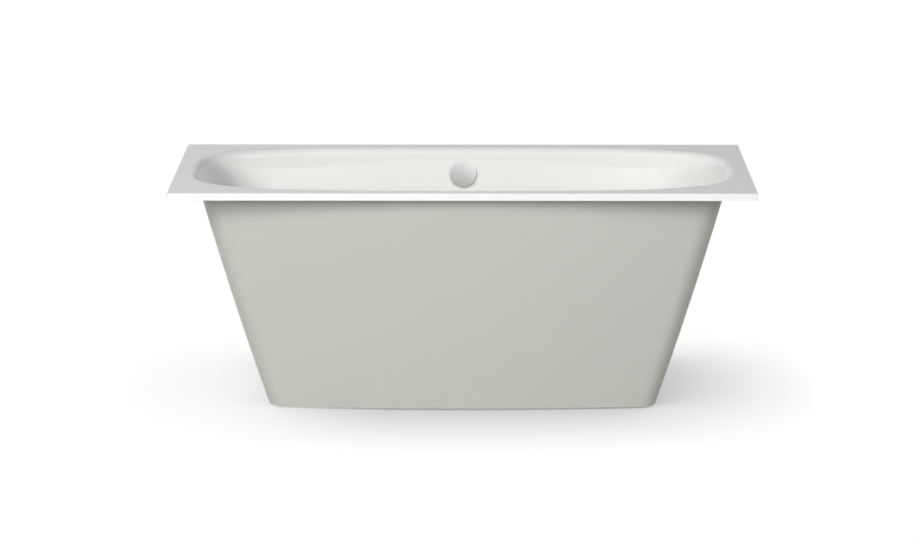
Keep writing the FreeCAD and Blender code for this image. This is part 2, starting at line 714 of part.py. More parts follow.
# a hanger under the rim at each back edge, screwed through the casing's flange
rim_under = value(RIM_UNDER)
bracket_width, bracket_sheet = size("bracket_width"), size("bracket_sheet")
hangers = []
screws = []
nuts = []
back_face = size("bath_width") / 2 - size("wall_gap")
flange_face = back_face - size("casing_sheet")
leg_face = flange_face - bracket_sheet
screw_radius, screw_length = size("back_screw_radius"), size("back_screw_length")
nut_radius = size("back_nut_radius")
screw_height = rim_under - size("back_screw_drop")
leg_foot = rim_under - size("bracket_drop")
outer_x = back_edge(leg_foot) - size("casing_sheet") - 2 * size("seat_gap")
for side in (-1, 1):
    screw_x = side * (back_edge(screw_height) - size("casing_flange") / 2)
    low_x = min(side * outer_x, side * (outer_x - bracket_width))
    leg = moved_box(bracket_width, bracket_sheet, size("bracket_drop"), low_x, leg_face, leg_foot)
    foot = moved_box(
        bracket_width, size("bracket_foot"), bracket_sheet, low_x,
        flange_face - size("bracket_foot"), rim_under - bracket_sheet,
    )
    hole = Part.makeCylinder(
        screw_radius, screw_length, Vector(screw_x, back_face, screw_height), Vector(0, -1, 0))
    hangers.append(leg.fuse(foot).removeSplitter().cut(hole))
    casing_shape = casing_shape.cut(hole)
    head = Part.makeCylinder(
        2 * screw_radius, screw_radius, Vector(screw_x, back_face, screw_height), Vector(0, 1, 0))
    shank = Part.makeCylinder(
        screw_radius, screw_length, Vector(screw_x, back_face, screw_height), Vector(0, -1, 0))
    screws.append(head.fuse(shank))
    nut = Part.Face(Part.makePolygon([
        Vector(
            screw_x + nut_radius * math.cos(math.radians(60 * corner)),
            leg_face,
            screw_height + nut_radius * math.sin(math.radians(60 * corner)),
        ) for corner in range(7)
    ])).extrude(Vector(0, -size("back_nut_height"), 0))
    nuts.append(nut.cut(hole))
node(formed("casing", casing_shape))
node(formed("casing_hangers", Part.makeCompound(hangers)))
node(formed("casing_screws", Part.makeCompound(screws)))
node(formed("casing_nuts", Part.makeCompound(nuts)))

# ---------------------------------------------------------------- sound deadening pads
pad_length, pad_tall = size("sound_pad_length"), size("sound_pad_height")
pad_area = Part.makeBox(
    pad_length, size("bath_width") / 2, pad_tall,
    Vector(size("sound_pad_offset") - pad_length / 2, 0, RIM_TOP - size("waist_depth")),
)
wall_pad = basin_walls(size("shell_sheet") + size("sound_pad")).common(pad_area).cut(
    basin_walls(size("shell_sheet")).common(pad_area))
floor_pad = Part.makeBox(
    pad_tall, pad_length, size("sound_pad"),
    Vector((size("rail_offset") - pad_tall) / 2, -pad_length / 2, value(FLOOR_UNDER) - size("sound_pad")),
)
sound_pads = [floor_pad, floor_pad.mirror(Vector(), Vector(1, 0, 0))]
for across in (wall_pad, wall_pad.mirror(Vector(), Vector(0, 1, 0))):
    sound_pads += [across, across.mirror(Vector(), Vector(1, 0, 0))]
node(formed("sound_pads", Part.makeCompound(sound_pads)))

# ---------------------------------------------------------------- rails and feet
HALF_RAIL = "Sizes.rail_size / 2"
LIP_EDGE = "(Sizes.rail_size / 2 - Sizes.rail_lip)"
WALL_IN = "(Sizes.rail_size / 2 - Sizes.rail_sheet)"
LIP_UNDER = "(Sizes.rail_size - Sizes.rail_sheet)"
CHANNEL = (
    ("-" + HALF_RAIL, "0"), (HALF_RAIL, "0"), (HALF_RAIL, "Sizes.rail_size"),
    (LIP_EDGE, "Sizes.rail_size"), (LIP_EDGE, LIP_UNDER), (WALL_IN, LIP_UNDER),
    (WALL_IN, "Sizes.rail_sheet"), ("-" + WALL_IN, "Sizes.rail_sheet"), ("-" + WALL_IN, LIP_UNDER),
    ("-" + LIP_EDGE, LIP_UNDER), ("-" + LIP_EDGE, "Sizes.rail_size"), ("-" + HALF_RAIL, "Sizes.rail_size"),
)
rail_pads = []
weld_studs = []
weld_nuts = []
foot_nuts = []
STUD_HOLE = "(Sizes.weld_stud_radius + Sizes.screw_gap)"
STUD_DROP = "(Sizes.rail_pad + Sizes.rail_size + Sizes.weld_stud_tail)"
for side, sign in (("left", "-"), ("right", "")):
    x = sign + "Sizes.rail_offset"
    rail = place(padded("rail_blank_" + side, "XZ_Plane", CHANNEL, "Sizes.rail_length"), x, 0, RAIL_FOOT)
    pad = block(
        "rail_pad_blank_" + side, "Sizes.rail_size", "Sizes.rail_pad_length", "Sizes.rail_pad",
        "%s - Sizes.rail_size / 2" % x, "-Sizes.rail_pad_length / 2", RAIL_TOP,
    )
    rail_holes = []
    pad_holes = []
    for end, toward in (("front", "-"), ("back", "")):
        tag = "%s_%s" % (end, side)
        stud_y = toward + "Sizes.weld_stud_spacing / 2"
        foot_y = toward + "Sizes.foot_offset"
        weld_studs.append(rod(
            "weld_stud_" + tag, "Sizes.weld_stud_radius", STUD_DROP, x, stud_y,
            "%s - %s" % (FLOOR_UNDER, STUD_DROP),
        ))
        weld_nuts.append(hex_nut(
            "weld_nut_" + tag, "Sizes.weld_nut_flats", "Sizes.weld_nut_height",
            "Sizes.weld_stud_radius", x, stud_y, "%s - Sizes.weld_nut_height" % RAIL_FOOT,
        ))
        rail_holes.append(rod("stud_hole_" + tag, STUD_HOLE, "Sizes.rail_sheet", x, stud_y, RAIL_FOOT))
        pad_holes.append(rod("pad_hole_" + tag, STUD_HOLE, "Sizes.rail_pad", x, stud_y, RAIL_TOP))
        rail_holes.append(rod(
            "foot_hole_" + tag, "Sizes.foot_stud_radius + Sizes.screw_gap", "Sizes.rail_sheet",
            x, foot_y, RAIL_FOOT,
        ))
        for level, base in (
            ("lower", "%s - Sizes.foot_nut_height" % RAIL_FOOT),
            ("upper", WEB_TOP),
        ):
            foot_nuts.append(hex_nut(
                "foot_nut_%s_%s" % (level, tag), "Sizes.foot_nut_flats", "Sizes.foot_nut_height",
                "Sizes.foot_stud_radius + Sizes.running_fit", x, foot_y, base,
            ))
        node(rod(
            "foot_stud_" + tag, "Sizes.foot_stud_radius",
            "%s + Sizes.foot_stud_rise - Sizes.foot_seat" % RAIL_FOOT, x, foot_y, "Sizes.foot_seat",
        ))
        plate = turned("foot_plate_" + tag, (
            ("0", "0"), ("Sizes.foot_radius", "0"), ("Sizes.foot_radius", "Sizes.foot_base"),
            ("Sizes.foot_socket", "Sizes.foot_cone"), ("Sizes.foot_socket", "Sizes.foot_height"),
            ("Sizes.foot_stud_radius + Sizes.running_fit", "Sizes.foot_height"),
            ("Sizes.foot_stud_radius + Sizes.running_fit", "Sizes.foot_seat"), ("0", "Sizes.foot_seat"),
        ))
        node(place(plate, x, foot_y, 0))
    node(cut("foot_rail_" + side, rail, *rail_holes))
    rail_pads.append(cut("rail_pad_" + side, pad, *pad_holes))
node(group("rail_pads", *rail_pads))
node(group("weld_studs", *weld_studs))
node(group("weld_nuts", *weld_nuts))
node(group("foot_nuts", *foot_nuts))

# tab on the left rail's back end for the bonding wire
LUG_Z = "(%s + Sizes.rail_size / 2)" % RAIL_FOOT
LUG_MIDDLE = "(Sizes.rail_length / 2 + Sizes.earth_screw_reach)"
LUG_SIDE = "(-Sizes.rail_offset + Sizes.rail_size / 2)"
lug = block(
    "earth_lug_blank", "Sizes.rail_sheet", "2 * Sizes.earth_lug_length", "Sizes.earth_lug_width",
    LUG_SIDE, "Sizes.rail_length / 2 - Sizes.earth_lug_length", "%s - Sizes.earth_lug_width / 2" % LUG_Z,
)
lug_hole = rod(
    "earth_lug_hole", "Sizes.earth_screw_radius", "3 * Sizes.rail_sheet",
    "%s - Sizes.rail_sheet" % LUG_SIDE, LUG_MIDDLE, LUG_Z,
)
turn(lug_hole, Vector(0, 1, 0), 90)
node(cut("earth_lug", lug, lug_hole))
screw_head = rod(
    "earth_screw_head", "2 * Sizes.earth_screw_radius", "Sizes.earth_screw_radius",
    "%s + Sizes.rail_sheet" % LUG_SIDE, LUG_MIDDLE, LUG_Z,
)
screw_shank = rod(
    "earth_screw_shank", "Sizes.earth_screw_radius", "Sizes.rail_sheet + 4 * Sizes.earth_screw_radius",
    "%s - 4 * Sizes.earth_screw_radius" % LUG_SIDE, LUG_MIDDLE, LUG_Z,
)
turn(screw_head, Vector(0, 1, 0), 90)
turn(screw_shank, Vector(0, 1, 0), 90)
node(joined("earth_screw", screw_head, screw_shank))

# ---------------------------------------------------------------- overflow, in the wall's own frame
SHELL_OUT = "-Sizes.shell_sheet"
SEAL_OUT = "(-Sizes.shell_sheet - Sizes.overflow_seal)"
HOUSING_OUT = "(%s - Sizes.housing_flange)" % SEAL_OUT
HOUSING_END = "(%s - Sizes.housing_depth)" % HOUSING_OUT
HOUSING_BORE = "(Sizes.housing_radius - Sizes.housing_wall)"
FLANGE_RADIUS = "(Sizes.housing_radius + Sizes.housing_brim)"
PIPE_AXIS = "-Sizes.pipe_setback"
SHAFT_BORE = "(Sizes.shaft_radius + Sizes.running_fit)"
CLAMP_BASE = "Sizes.seat_gap"
CLAMP_FACE = "(Sizes.seat_gap + Sizes.clamp_thickness)"


def on_wall(thing):
    """Put a piece that was made in the wall's frame where the overflow is."""
    thing.Placement = WALL
    return thing


def clamp_holes(name, radius, low, high):
    """The two screw holes beside the knob's shaft."""
    length = "%s - %s" % (high, low)
    return [
        rod("%s_%s" % (name, side), radius, length, sign + "Sizes.clamp_screw_offset", 0, low)
        for side, sign in (("left", "-"), ("right", ""))
    ]


# clamp ring with a hub for the shaft on three arms, and water slots between them
clamp_disc = turned("clamp_disc", (
    (SHAFT_BORE, CLAMP_BASE), ("Sizes.clamp_radius", CLAMP_BASE), ("Sizes.clamp_radius", CLAMP_FACE),
    (SHAFT_BORE, CLAMP_FACE),
))
slots = []
for side, sign in (("upper", ""), ("lower", "-")):
    slot = block(
        "clamp_slot_" + side, "Sizes.clamp_slot_length", "Sizes.clamp_slot_height",
        "Sizes.clamp_thickness", "-Sizes.clamp_slot_length / 2",
        "%sSizes.clamp_slot_offset - Sizes.clamp_slot_height / 2" % sign, CLAMP_BASE,
    )
    slots.append(slot)
clamp_screw_holes = clamp_holes("clamp_hole", "Sizes.clamp_screw_radius", CLAMP_BASE, CLAMP_FACE)
node(on_wall(cut("overflow_clamp", clamp_disc, *slots, *clamp_screw_holes)))

seal_ring = turned("overflow_seal", (
    ("Sizes.overflow_hole", SEAL_OUT), (FLANGE_RADIUS, SEAL_OUT),
    (FLANGE_RADIUS, "%s - Sizes.seat_gap" % SHELL_OUT),
    ("Sizes.overflow_hole", "%s - Sizes.seat_gap" % SHELL_OUT),
))
node(on_wall(seal_ring))

# housing: a cup with a flange, a collar for the pipe and a gland for the cable
cup = turned("overflow_cup", (
    ("0", HOUSING_END), ("Sizes.housing_radius", HOUSING_END), ("Sizes.housing_radius", HOUSING_OUT),
    (FLANGE_RADIUS, HOUSING_OUT), (FLANGE_RADIUS, SEAL_OUT), ("0", SEAL_OUT),
))
rounded(cup, "overflow_cup_round", "Sizes.housing_round", lambda edge: (
    edge.BoundBox.ZMax < value(HOUSING_END) + 0.01 and edge.BoundBox.XLength > size("housing_radius")))
collar = rod("overflow_collar", COLLAR_RADIUS, "Sizes.collar_length", 0, 0, PIPE_AXIS)
gland = rod("overflow_gland", "Sizes.gland_radius", "Sizes.gland_length", "Sizes.cable_offset", 0, PIPE_AXIS)
cup_bore = rod(
    "overflow_cup_bore", HOUSING_BORE, "Sizes.housing_depth + Sizes.housing_flange - Sizes.housing_wall",
    0, 0, "%s + Sizes.housing_wall" % HOUSING_END,
)
collar_bore = rod("overflow_collar_bore", "Sizes.pipe_radius", "Sizes.collar_length", 0, 0, PIPE_AXIS)
gland_bore = rod(
    "overflow_gland_bore", "Sizes.cable_radius", "Sizes.gland_length", "Sizes.cable_offset", 0, PIPE_AXIS)
for piece in (collar, gland, collar_bore, gland_bore):
    turn(piece, Vector(1, 0, 0), 90)
shaft_end = rod("shaft_bearing", "2 * Sizes.shaft_radius", "2 * Sizes.housing_wall", 0, 0, HOUSING_END)
end_bore = rod(
    "shaft_end_bore", SHAFT_BORE, "Sizes.housing_wall", 0, 0, "%s + Sizes.housing_wall" % HOUSING_END)
posts = clamp_holes("screw_post", "2 * Sizes.clamp_screw_radius", HOUSING_END, SEAL_OUT)
post_bores = clamp_holes(
    "screw_post_bore", "Sizes.clamp_screw_radius", "(%s - 3 * Sizes.housing_flange)" % SEAL_OUT, SEAL_OUT)
hollow_cup = cut(
    "overflow_hollow", joined("overflow_outside", cup, collar, gland), cup_bore, collar_bore, gland_bore)
node(on_wall(cut(
    "overflow_housing", joined("overflow_fitted", hollow_cup, shaft_end, *posts), end_bore, *post_bores)))

clamp_screws = []
for side, sign in (("left", "-"), ("right", "")):
    x = sign + "Sizes.clamp_screw_offset"
    head = rod(
        "clamp_head_" + side, "Sizes.clamp_head_radius", "Sizes.clamp_screw_radius", x, 0, CLAMP_FACE)
    shank = rod(
        "clamp_shank_" + side, "Sizes.clamp_screw_radius",
        "%s - %s + 3 * Sizes.housing_flange" % (CLAMP_FACE, SEAL_OUT), x, 0,
        "%s - 3 * Sizes.housing_flange" % SEAL_OUT,
    )
    clamp_screws.append(joined("clamp_screw_" + side, head, shank))
node(on_wall(group("overflow_screws", *clamp_screws)))

# knob: a domed cap, open behind, on a hub
KNOB_TOP = "(Sizes.knob_gap + Sizes.knob_depth)"
KNOB_HOLLOW = "(Sizes.knob_depth - Sizes.knob_face)"
face_ball = doc.addObject("Part::Sphere", "knob_ball")
bind(face_ball, Radius="Sizes.knob_dome")
place(face_ball, 0, 0, "%s - Sizes.knob_dome" % KNOB_TOP)
knob_blank = rod("knob_blank", "Sizes.knob_radius", "Sizes.knob_depth", 0, 0, "Sizes.knob_gap")
domed = doc.addObject("Part::Common", "knob_domed")
domed.Base = knob_blank
domed.Tool = face_ball
knob_hollow = rod(
    "knob_hollow", "Sizes.knob_radius - Sizes.knob_wall", KNOB_HOLLOW, 0, 0, "Sizes.knob_gap")
hub = rod(
    "knob_hub", "2 * Sizes.shaft_radius", KNOB_HOLLOW, 0, 0, "Sizes.knob_gap + Sizes.hub_setback")
knob_open = cut("knob_open", domed, knob_hollow)
hub_bore = rod("knob_hub_bore", "Sizes.shaft_radius", KNOB_HOLLOW, 0, 0, "Sizes.knob_gap")
node(on_wall(cut("overflow_knob", joined("knob_with_hub", knob_open, hub), hub_bore)))

# shaft with the drum that winds the cable
SHAFT_LOW = "(%s + Sizes.housing_wall)" % HOUSING_END
SHAFT_TOP = "(Sizes.knob_gap + %s)" % KNOB_HOLLOW
DRUM_LOW = "(%s - Sizes.drum_half)" % PIPE_AXIS
DRUM_HIGH = "(%s + Sizes.drum_half)" % PIPE_AXIS
DRUM_END = "(Sizes.drum_radius + Sizes.drum_flange)"
node(on_wall(turned("knob_shaft", (
    ("0", SHAFT_LOW), ("Sizes.shaft_radius", SHAFT_LOW), ("Sizes.shaft_radius", DRUM_LOW),
    (DRUM_END, DRUM_LOW), ("Sizes.drum_radius", "%s - Sizes.drum_groove" % PIPE_AXIS),
    ("Sizes.drum_radius", "%s + Sizes.drum_groove" % PIPE_AXIS), (DRUM_END, DRUM_HIGH),
    ("Sizes.shaft_radius", DRUM_HIGH), ("Sizes.shaft_radius", SHAFT_TOP), ("0", SHAFT_TOP),
))))

# ---------------------------------------------------------------- overflow pipe and cable
pipe_axis_point = WALL.multVec(Vector(0, 0, value(PIPE_AXIS)))
down = WALL.Rotation.multVec(Vector(0, -1, 0))
port_height = value(PORT_HEIGHT)
pipe_corner = pipe_axis_point + down * ((pipe_axis_point.z - port_height) / -down.z)
pipe_top = pipe_axis_point + down * size("pipe_start")
pipe_end = Vector(0, size("pipe_finish"), port_height)
pipe_path = tube_wire([pipe_top, pipe_corner, pipe_end], [size("pipe_bend")])
node(formed("overflow_pipe", tube(pipe_path, size("pipe_radius"), size("pipe_wall"))))

aside = Vector(size("cable_offset"), 0, 0)
cable_top = pipe_axis_point + aside + down * size("cable_start")
cable_end = Vector(size("cable_offset"), size("cable_start"), port_height)
cable_path = tube_wire([cable_top, pipe_corner + aside, cable_end], [size("cable_bend")])
cable_shape = bar(cable_path, size("cable_radius"))
node(formed("bowden_cable", cable_shape))
print("cable: length %.1f, bend %.0f, volume over section times length %.5f" % (
    cable_path.Length, size("cable_bend"),
    cable_shape.Volume / (math.pi * size("cable_radius") ** 2 * cable_path.Length)))

clips = []
for i in range(int(size("clip_count"))):
    centre = pipe_top + down * (size("clip_start") + i * size("clip_spacing"))
    width, wall = size("clip_width"), size("clip_wall")
    start = centre - down * (width / 2)
    ring = Part.makeCylinder(size("pipe_radius") + wall, width, start, down)
    eye = Part.makeCylinder(size("cable_radius") + wall, width, start + aside, down)
    web = Part.makeBox(size("cable_offset"), wall, width)
    web.Placement = FreeCAD.Placement(
        start - WALL.Rotation.multVec(Vector(0, 0, wall / 2)),
        WALL.Rotation * FreeCAD.Rotation(Vector(1, 0, 0), 90),
    )
    ring_bore = Part.makeCylinder(size("pipe_radius"), width, start, down)
    eye_bore = Part.makeCylinder(size("cable_radius"), width, start + aside, down)
    clips.append(ring.fuse([eye, web]).cut([ring_bore, eye_bore]))
node(formed("cable_clips", Part.makeCompound(clips)))

# ---------------------------------------------------------------- drain
node(turned("drain_seal", (
    ("Sizes.drain_hole", CUP_TOP), ("Sizes.cup_flange", CUP_TOP), ("Sizes.cup_flange", DISH_UNDER),
    ("Sizes.drain_hole", DISH_UNDER),
)))

NECK_LOW = "(%s - Sizes.strainer_neck_length)" % DISH_FLOOR
NECK_BORE = "(Sizes.neck_radius - Sizes.neck_wall)"
CUP_BORE = "(Sizes.cup_radius - Sizes.cup_wall)"
cup_body = turned("drain_cup", (
    (NECK_BORE, NECK_FOOT), ("Sizes.neck_radius", NECK_FOOT), ("Sizes.neck_radius", CUP_FOOT),
    ("Sizes.cup_radius", "%s + Sizes.cup_wall" % CUP_FOOT),
    ("Sizes.cup_radius", "%s - Sizes.cup_wall" % CUP_TOP),
    ("Sizes.cup_flange", "%s - Sizes.cup_wall" % CUP_TOP), ("Sizes.cup_flange", CUP_TOP),
    ("Sizes.strainer_neck", CUP_TOP), ("Sizes.strainer_neck", NECK_LOW), (CUP_BORE, NECK_LOW),
    (CUP_BORE, "%s + 2 * Sizes.cup_wall" % CUP_FOOT), (NECK_BORE, "%s + Sizes.cup_wall" % CUP_FOOT),
))
port = rod("drain_port", COLLAR_RADIUS, "Sizes.port_reach", 0, 0, PORT_HEIGHT)
port_gland = rod(
    "drain_gland", "Sizes.gland_radius", "Sizes.gland_length", "Sizes.cable_offset", 0, PORT_HEIGHT)
port_bore = rod("drain_port_bore", "Sizes.pipe_radius", "Sizes.port_reach", 0, 0, PORT_HEIGHT)
port_gland_bore = rod(
    "drain_gland_bore", "Sizes.cable_radius", "Sizes.gland_length", "Sizes.cable_offset", 0,
    PORT_HEIGHT)
for piece in (port, port_gland, port_bore, port_gland_bore):
    turn(piece, Vector(1, 0, 0), -90)
cup_space = turned("drain_space", (
    ("0", CUP_FOOT), (CUP_BORE, CUP_FOOT), (CUP_BORE, NECK_LOW), ("Sizes.strainer_neck", NECK_LOW),
    ("Sizes.strainer_neck", CUP_TOP), ("0", CUP_TOP),
))
pin_hole = rod(
    "lever_pin_hole", "Sizes.lever_pin_radius", "2 * Sizes.cup_radius", "-Sizes.cup_radius",
    "Sizes.lever_reach", LEVER_HEIGHT)
turn(pin_hole, Vector(0, 1, 0), 90)
# the port and the gland stop at the housing's bore
side_arms = cut("drain_arms", joined("drain_arm_blanks", port, port_gland), cup_space)
node(cut(
    "drain_housing", joined("drain_blank", cup_body, side_arms), port_bore, port_gland_bore, pin_hole))

strainer_ring = turned("strainer_ring", (
    ("Sizes.strainer_bore", NECK_LOW), ("Sizes.strainer_neck", NECK_LOW), ("Sizes.strainer_neck", DISH_FLOOR),
    ("Sizes.strainer_radius", DISH_FLOOR),
    ("Sizes.strainer_radius", "%s + Sizes.strainer_edge" % DISH_FLOOR),
    ("Sizes.strainer_bore + Sizes.strainer_land", "%s + Sizes.strainer_crown" % DISH_FLOOR),
    ("Sizes.strainer_bore", "%s + Sizes.strainer_seat" % DISH_FLOOR),
))
arm_height = "2 * Sizes.shell_sheet"
cross = [rod("strainer_hub", "2 * Sizes.stem_radius", arm_height, 0, 0, NECK_LOW)]
for i in range(3):
    arm = block(
        "strainer_arm_%d" % (i + 1), "Sizes.strainer_bore + 1", "Sizes.shell_sheet", arm_height,
        0, 0, NECK_LOW,
    )
    turn(arm, Vector(0, 0, 1), 120 * i + 30)
    cross.append(arm)
hub_hole = rod("strainer_hub_bore", "Sizes.stem_radius + Sizes.running_fit", arm_height, 0, 0, NECK_LOW)
node(cut("drain_ring", joined("strainer_blank", strainer_ring, *cross), hub_hole))

# plug: a domed cap with a hub, a seal under it, and a stem through the ring's hub
PLUG_UNDER = "(%s + Sizes.strainer_crown + Sizes.seat_gap)" % DISH_FLOOR
PLUG_TOP = "(%s + Sizes.plug_height)" % PLUG_UNDER
plug_ball = doc.addObject("Part::Sphere", "plug_ball")
bind(plug_ball, Radius="Sizes.plug_dome")
place(plug_ball, 0, 0, "%s - Sizes.plug_dome" % PLUG_TOP)
plug_blank = rod("plug_blank", "Sizes.plug_radius", "Sizes.plug_height", 0, 0, PLUG_UNDER)
plug_domed = doc.addObject("Part::Common", "plug_domed")
plug_domed.Base = plug_blank
plug_domed.Tool = plug_ball
STEM_TOP = "(%s - 2 * Sizes.stem_radius)" % PLUG_UNDER
plug_hub = rod("plug_hub", "2 * Sizes.stem_radius", "2 * Sizes.stem_radius", 0, 0, STEM_TOP)
node(joined("drain_plug", plug_domed, plug_hub))
SEAL_LOW = "(%s - Sizes.plug_seal_height)" % PLUG_UNDER
SEAL_RADIUS = "(Sizes.strainer_bore - Sizes.seat_gap)"
node(turned("plug_seal", (
    ("2 * Sizes.stem_radius", SEAL_LOW), (SEAL_RADIUS, SEAL_LOW), (SEAL_RADIUS, PLUG_UNDER),
    ("2 * Sizes.stem_radius", PLUG_UNDER),
)))
# the lever's tip swings from half the lift below its pin to half the lift above it
LEVER_SINK = "(Sizes.plug_lift / 2)"
STEM_FOOT = "(%s - %s + Sizes.lever_tip + Sizes.seat_gap)" % (LEVER_HEIGHT, LEVER_SINK)
node(turned("plug_stem", (
    ("0", STEM_FOOT), ("Sizes.stem_radius / 4", STEM_FOOT),
    ("Sizes.stem_radius", "%s + Sizes.stem_radius" % STEM_FOOT), ("Sizes.stem_radius", STEM_TOP),
    ("0", STEM_TOP),
)))

# lever: tip under the stem, horn up to the cable, boss on the pin
lever_boss = rod("lever_boss", "2.5 * Sizes.lever_pin_radius", "4 * Sizes.lever_pin_radius")
lever_tip = rod("lever_tip", "Sizes.lever_tip", "4 * Sizes.lever_pin_radius", "Sizes.lever_reach")
lever_arm = block(
    "lever_arm", "Sizes.lever_reach", "2 * Sizes.lever_tip", "4 * Sizes.lever_pin_radius", 0,
    "-Sizes.lever_tip")
lever_bore = rod("lever_bore", "Sizes.lever_pin_radius + Sizes.running_fit", "4 * Sizes.lever_pin_radius")
lever = cut("lift_lever", joined("lever_blank", lever_boss, lever_tip, lever_arm), lever_bore)
# made lying flat along X, it is stood up on the pin with its tip toward the stem, and sunk to rest
sunk = math.degrees(math.asin(value(LEVER_SINK) / size("lever_reach")))
swing = FreeCAD.Rotation(Vector(1, 0, 0), sunk)
stand = FreeCAD.Rotation(Vector(0, -1, 0), Vector(0, 0, 1), Vector(-1, 0, 0), "XZY")
lever.Placement = FreeCAD.Placement(
    Vector(2 * size("lever_pin_radius"), size("lever_reach"), value(LEVER_HEIGHT)), swing.multiply(stand))
node(lever)
pin = rod(
    "lever_pin", "Sizes.lever_pin_radius",
    "2 * sqrt(Sizes.cup_radius ^ 2 - (Sizes.lever_reach + Sizes.lever_pin_radius) ^ 2)",
    "-sqrt(Sizes.cup_radius ^ 2 - (Sizes.lever_reach + Sizes.lever_pin_radius) ^ 2)",
    "Sizes.lever_reach", LEVER_HEIGHT)
node(turn(pin, Vector(0, 1, 0), 90))

# nuts on the pipe's two collars
PIPE_NUT = ("Sizes.pipe_nut_radius", "Sizes.pipe_radius", "Sizes.pipe_nut_length")
upper_nut = ribbed_nut("pipe_nut_upper", *PIPE_NUT)
upper_nut.Placement = FreeCAD.Placement(
    pipe_axis_point + down * size("collar_length"), FreeCAD.Rotation(Vector(0, 0, 1), down))
node(upper_nut)
lower_nut = ribbed_nut("pipe_nut_lower", *PIPE_NUT)
place(lower_nut, 0, "Sizes.port_reach", PORT_HEIGHT)
node(turn(lower_nut, Vector(1, 0, 0), -90))

# ---------------------------------------------------------------- trap and outlet
trap_x = size("trap_reach")
trap_start = Vector(0, 0, value(NECK_FOOT))
trap_low = trap_start.z - size("trap_drop") + size("neck_radius")
trap_end = Vector(trap_x, 0, value(TRAP_JOINT))
outlet_corner = trap_end + Vector(0, 0, size("outlet_rise"))
trap_path = tube_wire(
    [trap_start, Vector(0, 0, trap_low), Vector(trap_x, 0, trap_low), trap_end], [size("trap_bend")] * 2)
node(formed("trap_bend", tube(trap_path, size("neck_radius"), size("neck_wall"))))
outlet_path = tube_wire(
    [trap_end, outlet_corner, outlet_corner + Vector(0, size("outlet_back"), 0)], [size("outlet_bend")])
node(formed("outlet_pipe", tube(outlet_path, size("neck_radius"), size("neck_wall"))))
for name, x, middle in (
    ("trap_nut_inlet", "0", NECK_FOOT), ("trap_nut_outlet", "Sizes.trap_reach", TRAP_JOINT),
):
    nut = ribbed_nut(name, "Sizes.trap_nut_radius", "Sizes.neck_radius", "Sizes.trap_nut_length")
    node(place(nut, x, 0, "%s - Sizes.trap_nut_length / 2" % middle))

# ---------------------------------------------------------------- check and write
doc.recompute()
for thing in doc.Objects:
    if "Invalid" in thing.State or "Error" in thing.State:
        raise RuntimeError("%s failed: %s" % (thing.Label, thing.State))
for thing in NODES:
    if thing.Shape.isNull() or not thing.Shape.isValid():
        raise RuntimeError("%s has no sound shape" % thing.Label)
os.makedirs("parts", exist_ok=True)
for thing in NODES:
    thing.Shape.exportStep("parts/%s.step" % thing.Label)
print("%d nodes, %d solids" % (len(NODES), sum(len(thing.Shape.Solids) for thing in NODES)))
print("overflow axis at (0, %.3f, %.3f), wall leans %.3f degrees" % (wall_y, knob_height, LEAN))
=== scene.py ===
# %% [markdown]
# # A bath with a flat rim and a tapered casing
#
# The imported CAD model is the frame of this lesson: every solid of the bath comes in at its place,
# in metres, and stays there. What is added is what a drawing of solids lacks: enamel, paint, chrome
# and rubber, threads on studs, chamfers on nuts, rings on a hose, ribs on the foot plates, rounded
# edges on knob and plug, and the light.

# %% The frame
import math

import bmesh
import bpy
from mathutils import Matrix, Vector


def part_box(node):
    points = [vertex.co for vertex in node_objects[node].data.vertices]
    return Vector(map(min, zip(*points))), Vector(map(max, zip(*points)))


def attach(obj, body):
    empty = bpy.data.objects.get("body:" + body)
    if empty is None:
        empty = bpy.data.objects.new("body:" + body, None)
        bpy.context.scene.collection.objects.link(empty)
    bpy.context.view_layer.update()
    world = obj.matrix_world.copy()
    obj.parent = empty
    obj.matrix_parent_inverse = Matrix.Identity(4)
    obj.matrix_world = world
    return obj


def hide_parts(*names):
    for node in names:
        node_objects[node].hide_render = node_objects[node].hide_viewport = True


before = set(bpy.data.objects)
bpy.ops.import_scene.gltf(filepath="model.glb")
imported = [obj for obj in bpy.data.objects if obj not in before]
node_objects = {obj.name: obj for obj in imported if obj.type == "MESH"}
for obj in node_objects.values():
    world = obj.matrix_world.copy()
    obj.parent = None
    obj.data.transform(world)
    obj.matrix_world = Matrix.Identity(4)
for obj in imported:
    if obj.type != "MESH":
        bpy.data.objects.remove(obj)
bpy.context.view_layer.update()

FULL_TURN = 2 * math.pi

# %% [markdown]
# ## The camera
#
# The straight edges of the rim and the casing fix the camera: they give its place, how far it
# looks down and how long its lens is. A long lens from nine metres away is what makes the rim's
# two long edges nearly parallel. The camera's axes are written as the columns of a matrix, because
# that needs no aim object and no angles that depend on an order of turning.

# %% Camera from the edges of the rim
CAMERA_PLACE = Vector((0.0289, -9.0474, 2.4432))
CAMERA_TURN, CAMERA_DIP = -0.0040, 0.2285
PHOTO_WIDTH, FOCAL_PIXELS = 920, 3285.8

lens = bpy.data.cameras.new("camera")
lens.sensor_width = 36
lens.lens = FOCAL_PIXELS / PHOTO_WIDTH * lens.sensor_width
camera = bpy.data.objects.new("camera", lens)
bpy.context.scene.collection.objects.link(camera)
ahead = Vector((
    math.sin(CAMERA_TURN) * math.cos(CAMERA_DIP),
    math.cos(CAMERA_TURN) * math.cos(CAMERA_DIP),
    -math.sin(CAMERA_DIP),
))
across = Vector((math.cos(CAMERA_TURN), -math.sin(CAMERA_TURN), 0))
axes = Matrix((across, across.cross(ahead), -ahead)).transposed().to_4x4()
camera.matrix_world = Matrix.Translation(CAMERA_PLACE) @ axes
bpy.context.scene.camera = camera
bpy.context.scene.view_settings.view_transform = "Standard"
print("lens", round(lens.lens, 2), "mm")

